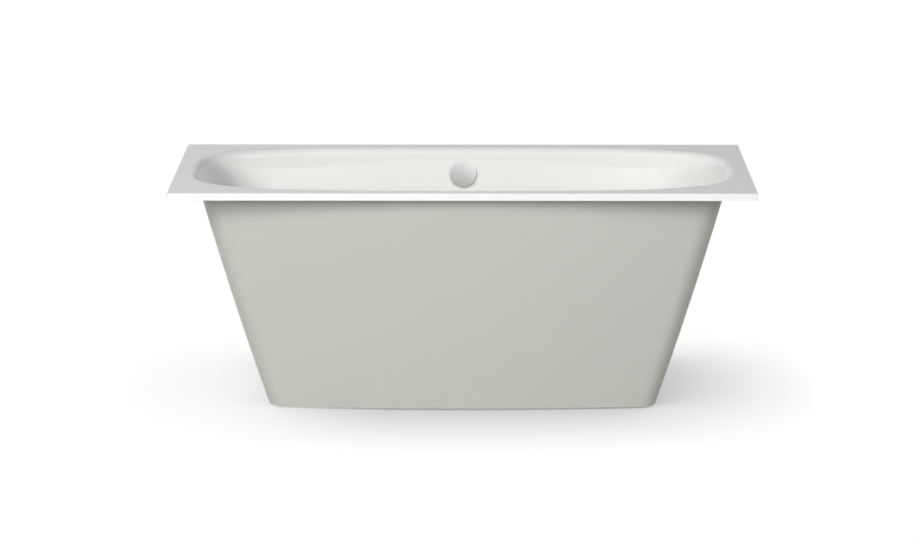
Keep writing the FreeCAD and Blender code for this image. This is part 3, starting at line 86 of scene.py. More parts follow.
# %% [markdown]
# ## Trees and meshes
#
# Materials, the world and the rules for repeated pieces are all trees of nodes. One small class
# adds a node with its settings and gives its sockets a constant or a link, so each tree reads as a
# list of sums. Meshes are made from points and faces, and most of them from rings of points.

# %% A short way to wire a tree
class Wiring:
    """Short ways to add nodes to a tree and to link them."""

    def __init__(self, tree):
        self.tree = tree

    def set(self, node, inputs):
        """Give sockets a constant or a link, by name or number."""
        for key, given in inputs.items():
            if isinstance(given, bpy.types.NodeSocket):
                self.tree.links.new(given, node.inputs[key])
            else:
                node.inputs[key].default_value = given
        return node

    def add(self, kind, inputs=None, **settings):
        """New node with its settings and inputs."""
        node = self.tree.nodes.new(kind)
        for key, setting in settings.items():
            setattr(node, key, setting)
        return self.set(node, inputs or {})

    def maths(self, operation, first, second=0.0, third=0.0):
        """Result of one sum."""
        return self.add(
            "ShaderNodeMath", {0: first, 1: second, 2: third}, operation=operation).outputs[0]

    def parts(self, vector):
        """The X, Y and Z of a vector."""
        return self.add("ShaderNodeSeparateXYZ", {0: vector}).outputs


# %% Meshes from points
def plain_mesh(name, points, faces=()):
    """Mesh from points and faces."""
    mesh = bpy.data.meshes.new(name)
    mesh.from_pydata([tuple(p) for p in points], [], list(faces))
    mesh.update()
    return mesh


def mesh_object(name, points, faces, material):
    """Object at the origin from points and faces."""
    made = bpy.data.objects.new(name, plain_mesh(name, points, faces))
    bpy.context.scene.collection.objects.link(made)
    made.data.materials.append(material)
    return made


def ring_faces(rings, around):
    """Faces between neighbouring rings of points; the last ring joins the first."""
    faces = []
    for i in range(rings):
        j = (i + 1) % rings
        for k in range(around):
            m = (k + 1) % around
            faces.append((i * around + k, i * around + m, j * around + m, j * around + k))
    return faces


def smooth(piece, angle):
    """Smooth shading up to an angle in degrees."""
    piece.data.polygons.foreach_set("use_smooth", [True] * len(piece.data.polygons))
    piece.data.set_sharp_from_angle(angle=math.radians(angle))
    return piece


def count(piece):
    """Say how many faces a piece has."""
    print(piece.name, len(piece.data.polygons), "faces")


# %% [markdown]
# ## Floor and lamps
#
# The bath stands on a plain white sweep. A floor that is lit until it is white would throw too much
# light up at the casing, so the floor has two faces. What the lamps' light falls on is an ordinary
# pale grey. What the camera and the mirrors see shines by itself, white, and loses only as much as
# the bath keeps off it: the share of nearby directions that are covered. That share fades to the
# left, where the key lamp reaches under the casing.

# %% Floor
FLOOR_REACH, FLOOR_GREY, FLOOR_WHITE = 30, 0.8, (1.01, 1.01, 1.005, 1)
SHADE_REACH, SHADE_DEPTH, SHADE_SAMPLES = 0.45, 0.72, 24
SHADE_LEFT, SHADE_RIGHT, SHARE_AT_LEFT = -0.75, -0.15, 0.3


def floor_finish():
    """White to camera and mirrors but for the bath's shade; pale grey to the lamps."""
    made = bpy.data.materials.new("floor_white")
    made.use_nodes = True
    made.node_tree.nodes.clear()
    wire = Wiring(made.node_tree)
    cover = wire.add(
        "ShaderNodeAmbientOcclusion", {"Distance": SHADE_REACH}, samples=SHADE_SAMPLES)
    place = wire.add("ShaderNodeTexCoord").outputs["Object"]
    share = wire.add("ShaderNodeMapRange", {
        "Value": wire.parts(place)["X"], "From Min": SHADE_LEFT, "From Max": SHADE_RIGHT,
        "To Min": SHARE_AT_LEFT * SHADE_DEPTH, "To Max": SHADE_DEPTH,
    }, interpolation_type="SMOOTHSTEP")
    covered = wire.maths("SUBTRACT", cover.outputs["AO"], 1.0)
    left_over = wire.maths("MULTIPLY_ADD", covered, share.outputs["Result"], 1.0)
    shining = wire.add("ShaderNodeEmission", {"Color": FLOOR_WHITE, "Strength": left_over})
    plain = wire.add(
        "ShaderNodeBsdfDiffuse", {"Color": (FLOOR_GREY, FLOOR_GREY, FLOOR_GREY, 1)})
    rays = wire.add("ShaderNodeLightPath").outputs
    seen = rays["Is Camera Ray"]
    for other in ("Is Glossy Ray", "Is Transmission Ray"):
        seen = wire.maths("MAXIMUM", seen, rays[other])
    faces = wire.add(
        "ShaderNodeMixShader", {0: seen, 1: plain.outputs[0], 2: shining.outputs[0]})
    wire.add("ShaderNodeOutputMaterial", {"Surface": faces.outputs[0]})
    return made


floor = mesh_object("floor", [
    (-FLOOR_REACH, -FLOOR_REACH, 0), (FLOOR_REACH, -FLOOR_REACH, 0),
    (FLOOR_REACH, FLOOR_REACH, 0), (-FLOOR_REACH, FLOOR_REACH, 0),
], [(0, 1, 2, 3)], floor_finish())
print("floor", 2 * FLOOR_REACH, "m wide")


# %% Lamps and the world
def lamp(name, place, target, width, height, watts, mirrored):
    """Soft box at a place, facing a target."""
    light = bpy.data.lights.new(name, "AREA")
    light.shape = "RECTANGLE"
    light.size, light.size_y = width, height
    light.energy = watts
    made = bpy.data.objects.new(name, light)
    bpy.context.scene.collection.objects.link(made)
    made.location = place
    made.rotation_euler = (Vector(target) - Vector(place)).to_track_quat("-Z", "Y").to_euler()
    made.visible_glossy = mirrored


LAMPS = (
    # name, place, target, width, height, watts, whether chrome and gloss mirror it
    ("key", (-5.0, -6.0, 4.5), (0, 0, 0.4), 2.5, 2.5, 142, False),
    ("front", (-3.0, -8.0, 3.0), (0, 0, 0.4), 3.0, 2.0, 192, False),
    ("over", (-2.5, -5.0, 5.0), (0, 0, 0.4), 2.0, 2.0, 113, False),
    ("above", (0.0, -6.0, 4.0), (0, 0, 0.4), 4.0, 2.0, 80, False),
    ("behind", (-3.0, 3.5, 3.0), (0, 0, 0.4), 2.0, 2.0, 75, False),
    ("right", (3.5, -4.2, 2.4), (0, 0, 0.4), 2.0, 2.0, 52, True),
)
for spec in LAMPS:
    lamp(*spec)

# The world is white to the camera, a little less in mirrors, and hardly lights anything itself.
WORLD_LIGHT, WORLD_MIRRORED, WORLD_SEEN = 0.02, 0.77, 1.0
world = bpy.data.worlds.new("studio")
bpy.context.scene.world = world
world.use_nodes = True
sky = Wiring(world.node_tree)
sky_rays = sky.add("ShaderNodeLightPath").outputs
sky_strength = sky.maths("MULTIPLY_ADD", sky_rays["Is Glossy Ray"], WORLD_MIRRORED, WORLD_LIGHT)
sky_strength = sky.maths("MULTIPLY_ADD", sky_rays["Is Camera Ray"], WORLD_SEEN, sky_strength)
sky.set(world.node_tree.nodes["Background"], {"Color": (1, 1, 1, 1), "Strength": sky_strength})
print("lamps", len(LAMPS))

# %% [markdown]
# ## Finishes
#
# Each finish is one Principled shader with its constants on the shader's own sockets, and a few
# textures on Object coordinates for what varies: a bump for enamel's faint ripple, flecks for the
# ground coat under the bath, spangle for zinc. A small class keeps the wiring short enough to read.

# %% A short way to wire a finish
class Finish(Wiring):
    """A material with one Principled shader, and short ways to add what varies."""

    def __init__(self, name, colour, roughness, metallic=0.0, **sockets):
        self.material = bpy.data.materials.new(name)
        self.material.use_nodes = True
        super().__init__(self.material.node_tree)
        self.shader = self.tree.nodes["Principled BSDF"]
        self.set(self.shader, {
            "Base Color": (*colour, 1), "Roughness": roughness, "Metallic": metallic})
        self.set(self.shader, {key.replace("_", " "): given for key, given in sockets.items()})
        self.place = self.add("ShaderNodeTexCoord").outputs["Object"]

    def moved(self, turn=(0, 0, 0), scale=(1, 1, 1)):
        """Object coordinates, turned or stretched."""
        return self.add("ShaderNodeMapping", {
            "Vector": self.place, "Rotation": turn, "Scale": scale}).outputs[0]

    def noise(self, scale, detail, where=None):
        """Noise from 0 to 1."""
        return self.add("ShaderNodeTexNoise", {
            "Vector": where or self.place, "Scale": scale, "Detail": detail}).outputs["Fac"]

    def cells(self, scale, output="Distance", where=None):
        """Voronoi cells: the distance to their middles, or their colours."""
        return self.add("ShaderNodeTexVoronoi", {
            "Vector": where or self.place, "Scale": scale}).outputs[output]

    def steps(self, factor, *stops):
        """Colour ramp through (position, grey or colour) stops."""
        ramp = self.add("ShaderNodeValToRGB", {"Fac": factor})
        marks = ramp.color_ramp.elements
        for mark, (position, colour) in zip(marks, stops):
            mark.position = position
            mark.color = (*colour, 1) if isinstance(colour, tuple) else (colour, colour, colour, 1)
        return ramp.outputs["Color"]

    def blend(self, factor, first, second):
        """Mix of two colours."""
        mix = self.add("ShaderNodeMix", data_type="RGBA")
        for socket, given in ((0, factor), (6, first), (7, second)):
            self.set(mix, {socket: (*given, 1) if isinstance(given, tuple) else given})
        return mix.outputs[2]

    def colour(self, socket):
        """Base colour from a texture."""
        self.set(self.shader, {"Base Color": socket})

    def rough(self, factor, low, high):
        """Roughness between two values as a factor goes from 0 to 1."""
        span = self.add("ShaderNodeMapRange", {"Value": factor, "To Min": low, "To Max": high})
        self.set(self.shader, {"Roughness": span.outputs[0]})

    def bump(self, height, distance):
        """Bump of so many metres; a second one adds to the first."""
        node = self.add("ShaderNodeBump", {"Height": height, "Distance": distance, "Strength": 1.0})
        before = self.shader.inputs["Normal"].links
        if before:
            self.set(node, {"Normal": before[0].from_socket})
        self.set(self.shader, {"Normal": node.outputs["Normal"]})


def dress(finish, *names):
    """Give nodes a finish."""
    for name in names:
        mesh = node_objects[name].data
        mesh.materials.clear()
        mesh.materials.append(finish.material)
    print(finish.material.name, "on", len(names), "nodes")


FEET = [end + "_" + side for end in ("front", "back") for side in ("left", "right")]

# %% [markdown]
# ### Enamel
#
# Enamel is glass melted onto steel. On the side that is used it is white, glossy and very slightly
# rippled; underneath it is the thin dark ground coat, with pale flecks where drops of white landed.
# Which side a face is on follows from its normal: the inside of the basin looks up and towards the
# middle, its outside looks down and away. On the lip it is the other way round, so the part of the
# sum that looks at the middle changes its sign there.

# %% Enamel, white above and dark below
LIP_INSIDE_X, LIP_INSIDE_Y = 0.79, 0.343
FLECK_CELLS, FLECK_RADIUS, FLECK_PATCHES, FLECKED_FROM = 420, 0.16, 9, 0.52

enamel = Finish(
    "white_enamel", (0.90, 0.895, 0.875), 0.22,
    Specular_IOR_Level=0.3, Coat_Weight=0.12, Coat_Roughness=0.08)
true_normal = enamel.add("ShaderNodeNewGeometry").outputs["True Normal"]
place_x, place_y, _ = enamel.parts(enamel.place)
normal_x, normal_y, normal_z = enamel.parts(true_normal)
outward_y = enamel.maths("MULTIPLY", place_y, normal_y)
outward = enamel.maths("MULTIPLY_ADD", place_x, normal_x, outward_y)
on_lip = enamel.maths(
    "MAXIMUM", enamel.maths("GREATER_THAN", enamel.maths("ABSOLUTE", place_x), LIP_INSIDE_X),
    enamel.maths("GREATER_THAN", enamel.maths("ABSOLUTE", place_y), LIP_INSIDE_Y))
lip_sign = enamel.maths("MULTIPLY_ADD", on_lip, 2.0, -1.0)
below = enamel.maths(
    "LESS_THAN", enamel.maths("MULTIPLY_ADD", outward, lip_sign, normal_z), 0.0)
flecks = enamel.maths("LESS_THAN", enamel.cells(FLECK_CELLS), FLECK_RADIUS)
fleck_patches = enamel.maths("GREATER_THAN", enamel.noise(FLECK_PATCHES, 3), FLECKED_FROM)
ground_coat = enamel.blend(
    enamel.maths("MULTIPLY", flecks, fleck_patches), (0.018, 0.024, 0.036), (0.42, 0.44, 0.46))
top_coat = enamel.blend(enamel.noise(2.5, 3), (0.885, 0.880, 0.862), (0.905, 0.900, 0.884))
enamel.colour(enamel.blend(below, top_coat, ground_coat))
enamel.rough(enamel.noise(14, 3), 0.18, 0.26)
enamel.bump(enamel.noise(60, 2), 0.00006)
enamel.bump(enamel.noise(9, 1), 0.0002)
dress(enamel, "bath_shell")

# %% [markdown]
# ### Paint of the casing
#
# The casing is sheet steel with a powder coat in a warm grey green. Powder melts into a skin with a
# fine orange-peel texture, which spreads the highlight wide. It is drawn as two noises, one at the
# size of the peel and one much finer, and a slow change of tone that is too small to notice.

# %% Powder coat
paint = Finish("sage_powder_coat", (0.522, 0.527, 0.481), 0.42, Specular_IOR_Level=0.4)
paint.colour(paint.blend(paint.noise(1.7, 3), (0.516, 0.521, 0.475), (0.528, 0.533, 0.487)))
paint.rough(paint.noise(30, 2), 0.38, 0.48)
paint.bump(paint.noise(520, 2), 0.00005)
paint.bump(paint.noise(2400, 2), 0.00002)
dress(paint, "casing")

# %% [markdown]
# ### Metals
#
# Four metals are on the bath: satin chrome where it is seen and touched, stainless inside the
# overflow and the drain, zinc on rails, studs, nuts and hangers, and one brass screw. Zinc that has
# been hot dipped shows crystals, which are Voronoi cells that differ in tone and roughness.

# %% Satin chrome, brushed in rings round the knob and the drain
KNOB_CENTRE = Vector((0, 0.28881, 0.555))
KNOB_AXIS = Vector((0, -0.990190, 0.139740))
UP = Vector((0, 0, 1))
BRUSH_LINES, BRUSH_GRAIN, BRUSH_DEPTH = 900, 1600, 0.00001


def rings(finish, centre, axis, scale):
    """Noise that depends on the distance from an axis alone."""
    def vector_maths(operation, *given):
        return finish.add("ShaderNodeVectorMath", dict(enumerate(given)), operation=operation)
    from_centre = vector_maths("SUBTRACT", finish.place, centre).outputs[0]
    sideways = vector_maths("CROSS_PRODUCT", from_centre, axis).outputs[0]
    distance = vector_maths("LENGTH", sideways).outputs["Value"]
    return finish.add(
        "ShaderNodeTexNoise", {"W": distance, "Scale": scale, "Detail": 3.0},
        noise_dimensions="1D").outputs["Fac"]


def brushed(name, tone, centre, axis, smoothest, roughest):
    """Satin chrome with fine rings round an axis."""
    made = Finish(name, (tone, tone, tone), (smoothest + roughest) / 2, 1.0)
    made.rough(rings(made, centre, axis, BRUSH_LINES), smoothest, roughest)
    made.bump(rings(made, centre, axis, BRUSH_GRAIN), BRUSH_DEPTH)
    return made


knob_chrome = brushed("satin_chrome_knob", 0.95, KNOB_CENTRE, KNOB_AXIS, 0.34, 0.46)
dress(knob_chrome, "overflow_knob")
drain_chrome = brushed("satin_chrome_drain", 0.80, Vector(), UP, 0.12, 0.24)
dress(drain_chrome, "drain_ring", "drain_plug")

# %% Zinc, stainless and brass
zinc = Finish("zinc", (0.62, 0.64, 0.66), 0.45, 0.95)
crystals = zinc.cells(55, "Color", zinc.moved(scale=(1, 0.7, 1)))
crystal_tone = zinc.parts(crystals)["X"]
zinc.colour(zinc.steps(crystal_tone, (0, (0.50, 0.52, 0.54)), (1, (0.70, 0.72, 0.74))))
zinc.rough(crystal_tone, 0.34, 0.56)
zinc.bump(zinc.noise(160, 3), 0.00005)
dress(
    zinc, "foot_rail_left", "foot_rail_right", "casing_hangers", "casing_screws", "casing_nuts",
    "weld_studs", "weld_nuts", "foot_nuts", "earth_lug", *["foot_stud_" + tag for tag in FEET])

stainless = Finish("stainless", (0.66, 0.65, 0.63), 0.3, 1.0)
grain = stainless.noise(40, 3, stainless.moved(scale=(1, 40, 40)))
stainless.rough(grain, 0.22, 0.38)
stainless.bump(grain, 0.00001)
dress(stainless, "overflow_clamp", "overflow_screws", "knob_shaft", "plug_stem", "lever_pin")

brass = Finish("brass", (0.72, 0.52, 0.22), 0.3, 1.0)
brass.rough(brass.noise(120, 3), 0.24, 0.42)
dress(brass, "earth_screw")

# %% [markdown]
# ### Rubber, bitumen and plastics
#
# What seals and damps is dull and black; what carries water is pale moulded plastic with the fine
# grain of the mould. The damping pads are bitumen, rolled between embossed drums, which leaves a
# grid of small diamonds: two waves at right angles make it.

# %% Rubber and bitumen
rubber = Finish("black_rubber", (0.022, 0.022, 0.023), 0.7, Specular_IOR_Level=0.35)
rubber.colour(rubber.steps(rubber.noise(45, 4), (0.3, 0.016), (0.7, 0.034)))
rubber.rough(rubber.noise(70, 3), 0.6, 0.8)
rubber.bump(rubber.noise(700, 2), 0.00008)
dress(rubber, "casing_spacers", "rail_pads", "overflow_seal", "drain_seal", "plug_seal")

bitumen = Finish("bitumen", (0.04, 0.04, 0.042), 0.6)
diagonal = bitumen.moved(turn=(math.radians(45), math.radians(45), 0))
diamonds = bitumen.maths("MULTIPLY", *[
    bitumen.add(
        "ShaderNodeTexWave", {"Vector": diagonal, "Scale": 60.0}, bands_direction=axis,
    ).outputs["Fac"] for axis in "XY"])
# The grooves between the diamonds are painted darker than their tops, which is painted shade in the
# recesses over the real embossed bump.
bitumen.colour(bitumen.steps(diamonds, (0, 0.028), (1, 0.062)))
bitumen.bump(diamonds, 0.0008)
bitumen.bump(bitumen.noise(300, 3), 0.0002)
dress(bitumen, "sound_pads")


# %% Plastics
def moulded(name, dark, pale, rough, grain_size=900, grain_depth=0.00003):
    """Moulded plastic: a slow change of tone and the fine grain of the mould."""
    made = Finish(name, pale, rough, Specular_IOR_Level=0.45)
    made.colour(made.blend(made.noise(18, 3), dark, pale))
    made.rough(made.noise(60, 3), rough - 0.05, rough + 0.07)
    made.bump(made.noise(grain_size, 2), grain_depth)
    return made


white_plastic = moulded("white_plastic", (0.74, 0.74, 0.72), (0.80, 0.80, 0.78), 0.34)
nut_plastic = moulded("grey_nut_plastic", (0.46, 0.47, 0.48), (0.52, 0.53, 0.54), 0.38)
black_plastic = moulded("black_plastic", (0.018, 0.018, 0.02), (0.032, 0.032, 0.034), 0.5)
lever_plastic = moulded("lever_plastic", (0.20, 0.21, 0.22), (0.26, 0.27, 0.28), 0.42)
sheath = moulded(
    "cable_sheath", (0.02, 0.02, 0.022), (0.04, 0.04, 0.042), 0.4, 1400, 0.00005)
dress(
    white_plastic, "overflow_housing", "overflow_pipe", "drain_housing", "trap_bend",
    "outlet_pipe")
dress(
    nut_plastic, "pipe_nut_upper", "pipe_nut_lower", "trap_nut_inlet", "trap_nut_outlet",
    "cable_clips")
dress(lever_plastic, "lift_lever")
dress(sheath, "bowden_cable")
dress(black_plastic, *["foot_plate_" + tag for tag in FEET])
print("materials", len(bpy.data.materials))

# %% [markdown]
# ## Pieces that follow a rule
#
# Threads, nuts, the hose's rings and the ribs of the foot plates repeat, so each is a Geometry
# Nodes tree that this script builds: its sizes are named inputs, its last nodes make the copies
# real and give them their finish, and the result is baked into a plain mesh, because the pieces
# must stand alone.

# %% A short way to build a tree and bake it
class Rule(Wiring):
    """A geometry tree with named inputs that is baked into plain pieces."""

    def __init__(self, name):
        super().__init__(bpy.data.node_groups.new(name, "GeometryNodeTree"))
        for way in ("INPUT", "OUTPUT"):
            self.tree.interface.new_socket(
                "Geometry", in_out=way, socket_type="NodeSocketGeometry")
        self.start = self.tree.nodes.new("NodeGroupInput")
        self.end = self.tree.nodes.new("NodeGroupOutput")
        self.sockets = {}

    def given(self, name, kind="Float"):
        """A named input of the tree."""
        made = self.tree.interface.new_socket(
            name, in_out="INPUT", socket_type="NodeSocket" + kind)
        self.sockets[name] = made.identifier
        return self.start.outputs[name]

    def named(self, name, kind):
        """A value that the points of the base mesh carry."""
        return self.add(
            "GeometryNodeInputNamedAttribute", {"Name": name}, data_type=kind,
        ).outputs["Attribute"]

    def copies(self, points, pattern, turn=(0, 0, 0)):
        """Copies of an object on points, each turned."""
        shown = self.add("GeometryNodeObjectInfo", {"Object": pattern})
        return self.add("GeometryNodeInstanceOnPoints", {
            "Points": points, "Instance": shown.outputs["Geometry"], "Rotation": turn}).outputs[0]

    def upward(self, height):
        """A vector straight up, of a height that the tree works out."""
        return self.add("ShaderNodeCombineXYZ", {"Z": height}).outputs[0]

    def shifted(self, geometry, offset):
        """Geometry moved as a whole."""
        return self.add(
            "GeometryNodeTransform", {"Geometry": geometry, "Translation": offset}).outputs[0]

    def joined(self, *parts):
        """Several geometries as one."""
        join = self.add("GeometryNodeJoinGeometry")
        for part in parts:
            self.tree.links.new(part, join.inputs[0])
        return join.outputs[0]

    def done(self, geometry, finish):
        """Real copies with their finish, out of the tree."""
        real = self.add("GeometryNodeRealizeInstances", {"Geometry": geometry})
        dressed = self.add("GeometryNodeSetMaterial", {
            "Geometry": real.outputs[0], "Material": finish.material})
        self.set(self.end, {0: dressed.outputs[0]})

    def bake(self, name, base, **values):
        """Plain piece from the tree, for one base mesh and one set of inputs."""
        carrier = bpy.data.objects.new(name, base)
        bpy.context.scene.collection.objects.link(carrier)
        modifier = carrier.modifiers.new("rule", "NODES")
        modifier.node_group = self.tree
        for key, value in values.items():
            modifier[self.sockets[key]] = value
        bpy.context.view_layer.update()
        seen = carrier.evaluated_get(bpy.context.evaluated_depsgraph_get())
        mesh = bpy.data.meshes.new_from_object(seen)
        carrier.modifiers.clear()
        carrier.data = mesh
        mesh.name = name
        return carrier


# %% [markdown]
# ### Threads of the levelling studs
#
# A levelling stud is an M12 rod: a core with a ridge that climbs 1.75 mm a turn. The solid in the
# CAD is a plain rod as thick as the ridge, so the core here is thinner and the ridge fills it out
# again. The ridge is a spiral curve with a small diamond swept along it. It turns with the stud's
# own body, so in a pose it screws through its nuts as the real one does.

# %% Threaded studs
THREAD_PITCH, THREAD_DEPTH = 0.00175, 0.0007
RIDGE_SINK, RIDGE_STEPS, CORE_SIDES = 0.1, 20, 24

thread = Rule("thread")
radius, pitch = thread.given("Radius"), thread.given("Pitch")
depth, length = thread.given("Depth"), thread.given("Length")
foot_place = thread.given("Foot", "Vector")
root_radius = thread.maths("SUBTRACT", radius, depth)
ridge_length = thread.maths("SUBTRACT", length, thread.maths("MULTIPLY", depth, 2.0))
climb = thread.add("GeometryNodeCurveSpiral", {
    "Resolution": RIDGE_STEPS, "Rotations": thread.maths("DIVIDE", ridge_length, pitch),
    "Start Radius": root_radius, "End Radius": root_radius, "Height": ridge_length})
diamond = thread.add("GeometryNodeCurvePrimitiveCircle", {"Resolution": 4, "Radius": depth})
ridge = thread.add("GeometryNodeCurveToMesh", {
    "Curve": climb.outputs[0], "Profile Curve": diamond.outputs[0], "Fill Caps": True})
core_radius = thread.maths("ADD", root_radius, thread.maths("MULTIPLY", depth, RIDGE_SINK))
core = thread.add("GeometryNodeMeshCylinder", {
    "Vertices": CORE_SIDES, "Radius": core_radius, "Depth": length})
rod = thread.joined(
    thread.shifted(ridge.outputs[0], thread.upward(depth)),
    thread.shifted(core.outputs[0], thread.upward(thread.maths("DIVIDE", length, 2.0))))
thread.done(thread.shifted(rod, foot_place), zinc)


def foot_of(low, high):
    """Middle of a box's underside."""
    return Vector(((low.x + high.x) / 2, (low.y + high.y) / 2, low.z))


for tag in FEET:
    low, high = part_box("foot_stud_" + tag)
    stud = thread.bake(
        "threaded_stud_" + tag, bpy.data.meshes.new("stud_base"), Radius=(high.x - low.x) / 2,
        Pitch=THREAD_PITCH, Depth=THREAD_DEPTH, Length=high.z - low.z, Foot=foot_of(low, high))
    smooth(stud, 50)
    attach(stud, "stud_" + tag)
    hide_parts("foot_stud_" + tag)
count(stud)

# %% [markdown]
# ### Nuts
#
# A nut is a hexagon whose corners are turned off by a cone, so each flat ends in a curved edge.
# That curve is what a nut is recognised by, and it has a simple rule: at every angle the chamfer
# starts on the same circle and falls at the same slope until it meets the flat. Rings of points at
# 48 angles give it exactly. One tree then sets a nut on each point of a carrier mesh.

# %% Nut by rings, and copies on points
NUT_ANGLES = 48
CHAMFER_START, CHAMFER_SLOPE, LEAD_IN = 0.97, math.tan(math.radians(30)), 0.12
FOOT_NUT_BORE, WELD_NUT_BORE = 0.00605, 0.004


def nut_mesh(name, flats, height, bore):
    """Hexagon nut with chamfered corners, up from its origin."""
    angles = [FULL_TURN * k / NUT_ANGLES for k in range(NUT_ANGLES)]

    def ring(radii, heights):
        return [
            (reach * math.cos(angle), reach * math.sin(angle), z)
            for angle, reach, z in zip(angles, radii, heights)]

    def circle(radius, z):
        return ring([radius] * NUT_ANGLES, [z] * NUT_ANGLES)

    start, lead = CHAMFER_START * flats / 2, LEAD_IN * bore
    hexagon = [
        flats / 2 / math.cos(angle % (math.pi / 3) - math.pi / 6) for angle in angles]
    falls = [(reach - start) * CHAMFER_SLOPE for reach in hexagon]
    rings_of_points = [
        circle(bore + lead, 0), circle(start, 0), ring(hexagon, falls),
        ring(hexagon, [height - fall for fall in falls]), circle(start, height),
        circle(bore + lead, height), circle(bore, height - lead), circle(bore, lead)]
    return plain_mesh(
        name, [p for points in rings_of_points for p in points],
        ring_faces(len(rings_of_points), NUT_ANGLES))


def islands(node):
    """Boxes of the separate solids of a node, as (lowest, highest) corners."""
    shape = bmesh.new()
    shape.from_mesh(node_objects[node].data)
    bmesh.ops.remove_doubles(shape, verts=shape.verts, dist=1e-6)
    left, found = set(shape.verts), []
    while left:
        heap, group = [left.pop()], []
        while heap:
            vertex = heap.pop()
            group.append(vertex.co.copy())
            for edge in vertex.link_edges:
                other = edge.other_vert(vertex)
                if other in left:
                    left.remove(other)
                    heap.append(other)
        found.append((Vector(map(min, *group)), Vector(map(max, *group))))
    shape.free()
    return sorted(found, key=lambda pair: tuple(round(v, 4) for v in pair[0]))


on_points = Rule("copies_on_points")
pattern = on_points.given("Pattern", "Object")
on_points.done(on_points.copies(on_points.start.outputs["Geometry"], pattern), zinc)

for node, bore in (("foot_nuts", FOOT_NUT_BORE), ("weld_nuts", WELD_NUT_BORE)):
    boxes = islands(node)
    low, high = boxes[0]
    nut = bpy.data.objects.new(
        "nut_pattern", nut_mesh(node + "_mesh", high.y - low.y, high.z - low.z, bore))
    bpy.context.scene.collection.objects.link(nut)
    spots = plain_mesh(node + "_spots", [foot_of(*box) for box in boxes])
    nuts = on_points.bake("chamfered_" + node, spots, Pattern=nut)
    bpy.data.objects.remove(nut)
    smooth(nuts, 35)
    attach(nuts, "bath")
    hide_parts(node)
    count(nuts)

# %% [markdown]
# ### Turned pieces with rounded edges
#
# The knob and the plug's cap are turned and polished, and polishing takes every edge off. A
# section is written as (radius, height, rounding) corners; each rounded corner is replaced by a
# short arc that touches both sides, and the result is turned about the axis. The arc keeps inside
# the corner, so the piece never leaves the box of its solid.

# %% Turning a rounded section
ARC_STEPS, TURNED_ANGLES = 5, 96


def rounded_section(corners):
    """Points of an outline whose corners are replaced by arcs."""
    spots = []
    for i, (radius, height, rounding) in enumerate(corners):
        here = Vector((radius, height))
        if not rounding:
            spots.append(here)
            continue
        before = (Vector(corners[i - 1][:2]) - here).normalized()
        after = (Vector(corners[(i + 1) % len(corners)][:2]) - here).normalized()
        half = before.angle(after) / 2
        back_off = rounding / math.tan(half)
        first, last = here + before * back_off, here + after * back_off
        centre = here + (before + after).normalized() * (rounding / math.sin(half))
        start, turn = first - centre, (first - centre).angle_signed(last - centre)
        for k in range(ARC_STEPS + 1):
            spots.append(centre + Matrix.Rotation(-turn * k / ARC_STEPS, 2) @ start)
    return spots


def turned_piece(name, corners, placement, finish):
    """Ring-shaped or solid piece turned about local Z, set down by a placement matrix."""
    spots = rounded_section(corners)
    angles = [FULL_TURN * k / TURNED_ANGLES for k in range(TURNED_ANGLES)]
    points = [
        placement @ Vector((spot.x * math.cos(angle), spot.x * math.sin(angle), spot.y))
        for spot in spots for angle in angles]
    piece = mesh_object(name, points, ring_faces(len(spots), TURNED_ANGLES), finish.material)
    shape = bmesh.new()
    shape.from_mesh(piece.data)
    bmesh.ops.remove_doubles(shape, verts=shape.verts, dist=1e-7)
    bmesh.ops.dissolve_degenerate(shape, edges=shape.edges, dist=1e-7)
    bmesh.ops.recalc_face_normals(shape, faces=shape.faces)
    shape.to_mesh(piece.data)
    shape.free()
    return smooth(piece, 30)


def dome(radii, top, ball):
    """Section points of a domed face, from the edge to the middle."""
    return [(r, top - ball + math.sqrt(ball ** 2 - r ** 2), 0) for r in radii]


# %% Knob
KNOB_RADIUS, SKIRT_INSIDE, HUB_RADIUS, SHAFT_RADIUS = 0.038, 0.036, 0.008, 0.004
SKIRT_FOOT, HUB_FOOT, KNOB_CEILING = 0.004, 0.005, 0.008
KNOB_SHOULDER, KNOB_TOP, KNOB_BALL = 0.0105, 0.013, 0.290
SOFT_EDGE, SHOULDER_EDGE, HUB_EDGE = 0.0005, 0.0014, 0.0004

# The wall leans, so the knob's own Z is its axis, which points into the bath.
WALL_PLACE = Matrix((
    (1, 0, 0, 0),
    (0, KNOB_AXIS.z, KNOB_AXIS.y, KNOB_CENTRE.y),
    (0, -KNOB_AXIS.y, KNOB_AXIS.z, KNOB_CENTRE.z),
    (0, 0, 0, 1),
))
KNOB_SECTION = [
    (SHAFT_RADIUS, HUB_FOOT, 0), (HUB_RADIUS, HUB_FOOT, HUB_EDGE), (HUB_RADIUS, KNOB_CEILING, 0),
    (SKIRT_INSIDE, KNOB_CEILING, 0), (SKIRT_INSIDE, SKIRT_FOOT, SOFT_EDGE),
    (KNOB_RADIUS, SKIRT_FOOT, SOFT_EDGE), (KNOB_RADIUS, KNOB_SHOULDER, SHOULDER_EDGE),
    *dome((0.034, 0.028, 0.021, 0.014, 0.007, 0.0), KNOB_TOP, KNOB_BALL),
    (0.0, KNOB_CEILING, 0), (SHAFT_RADIUS, KNOB_CEILING, 0),
]
knob = turned_piece("polished_knob", KNOB_SECTION, WALL_PLACE, knob_chrome)
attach(knob, "knob")
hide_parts("overflow_knob")
count(knob)

# %% Plug
PLUG_RADIUS, SPIGOT_RADIUS, PLUG_BALL = 0.031, 0.008, 0.120
PLUG_UNDER, SPIGOT_LENGTH, PLUG_EDGE, PLUG_RISE = 0.1788, 0.008, 0.00093, 0.005
RIM_EDGE = 0.0003

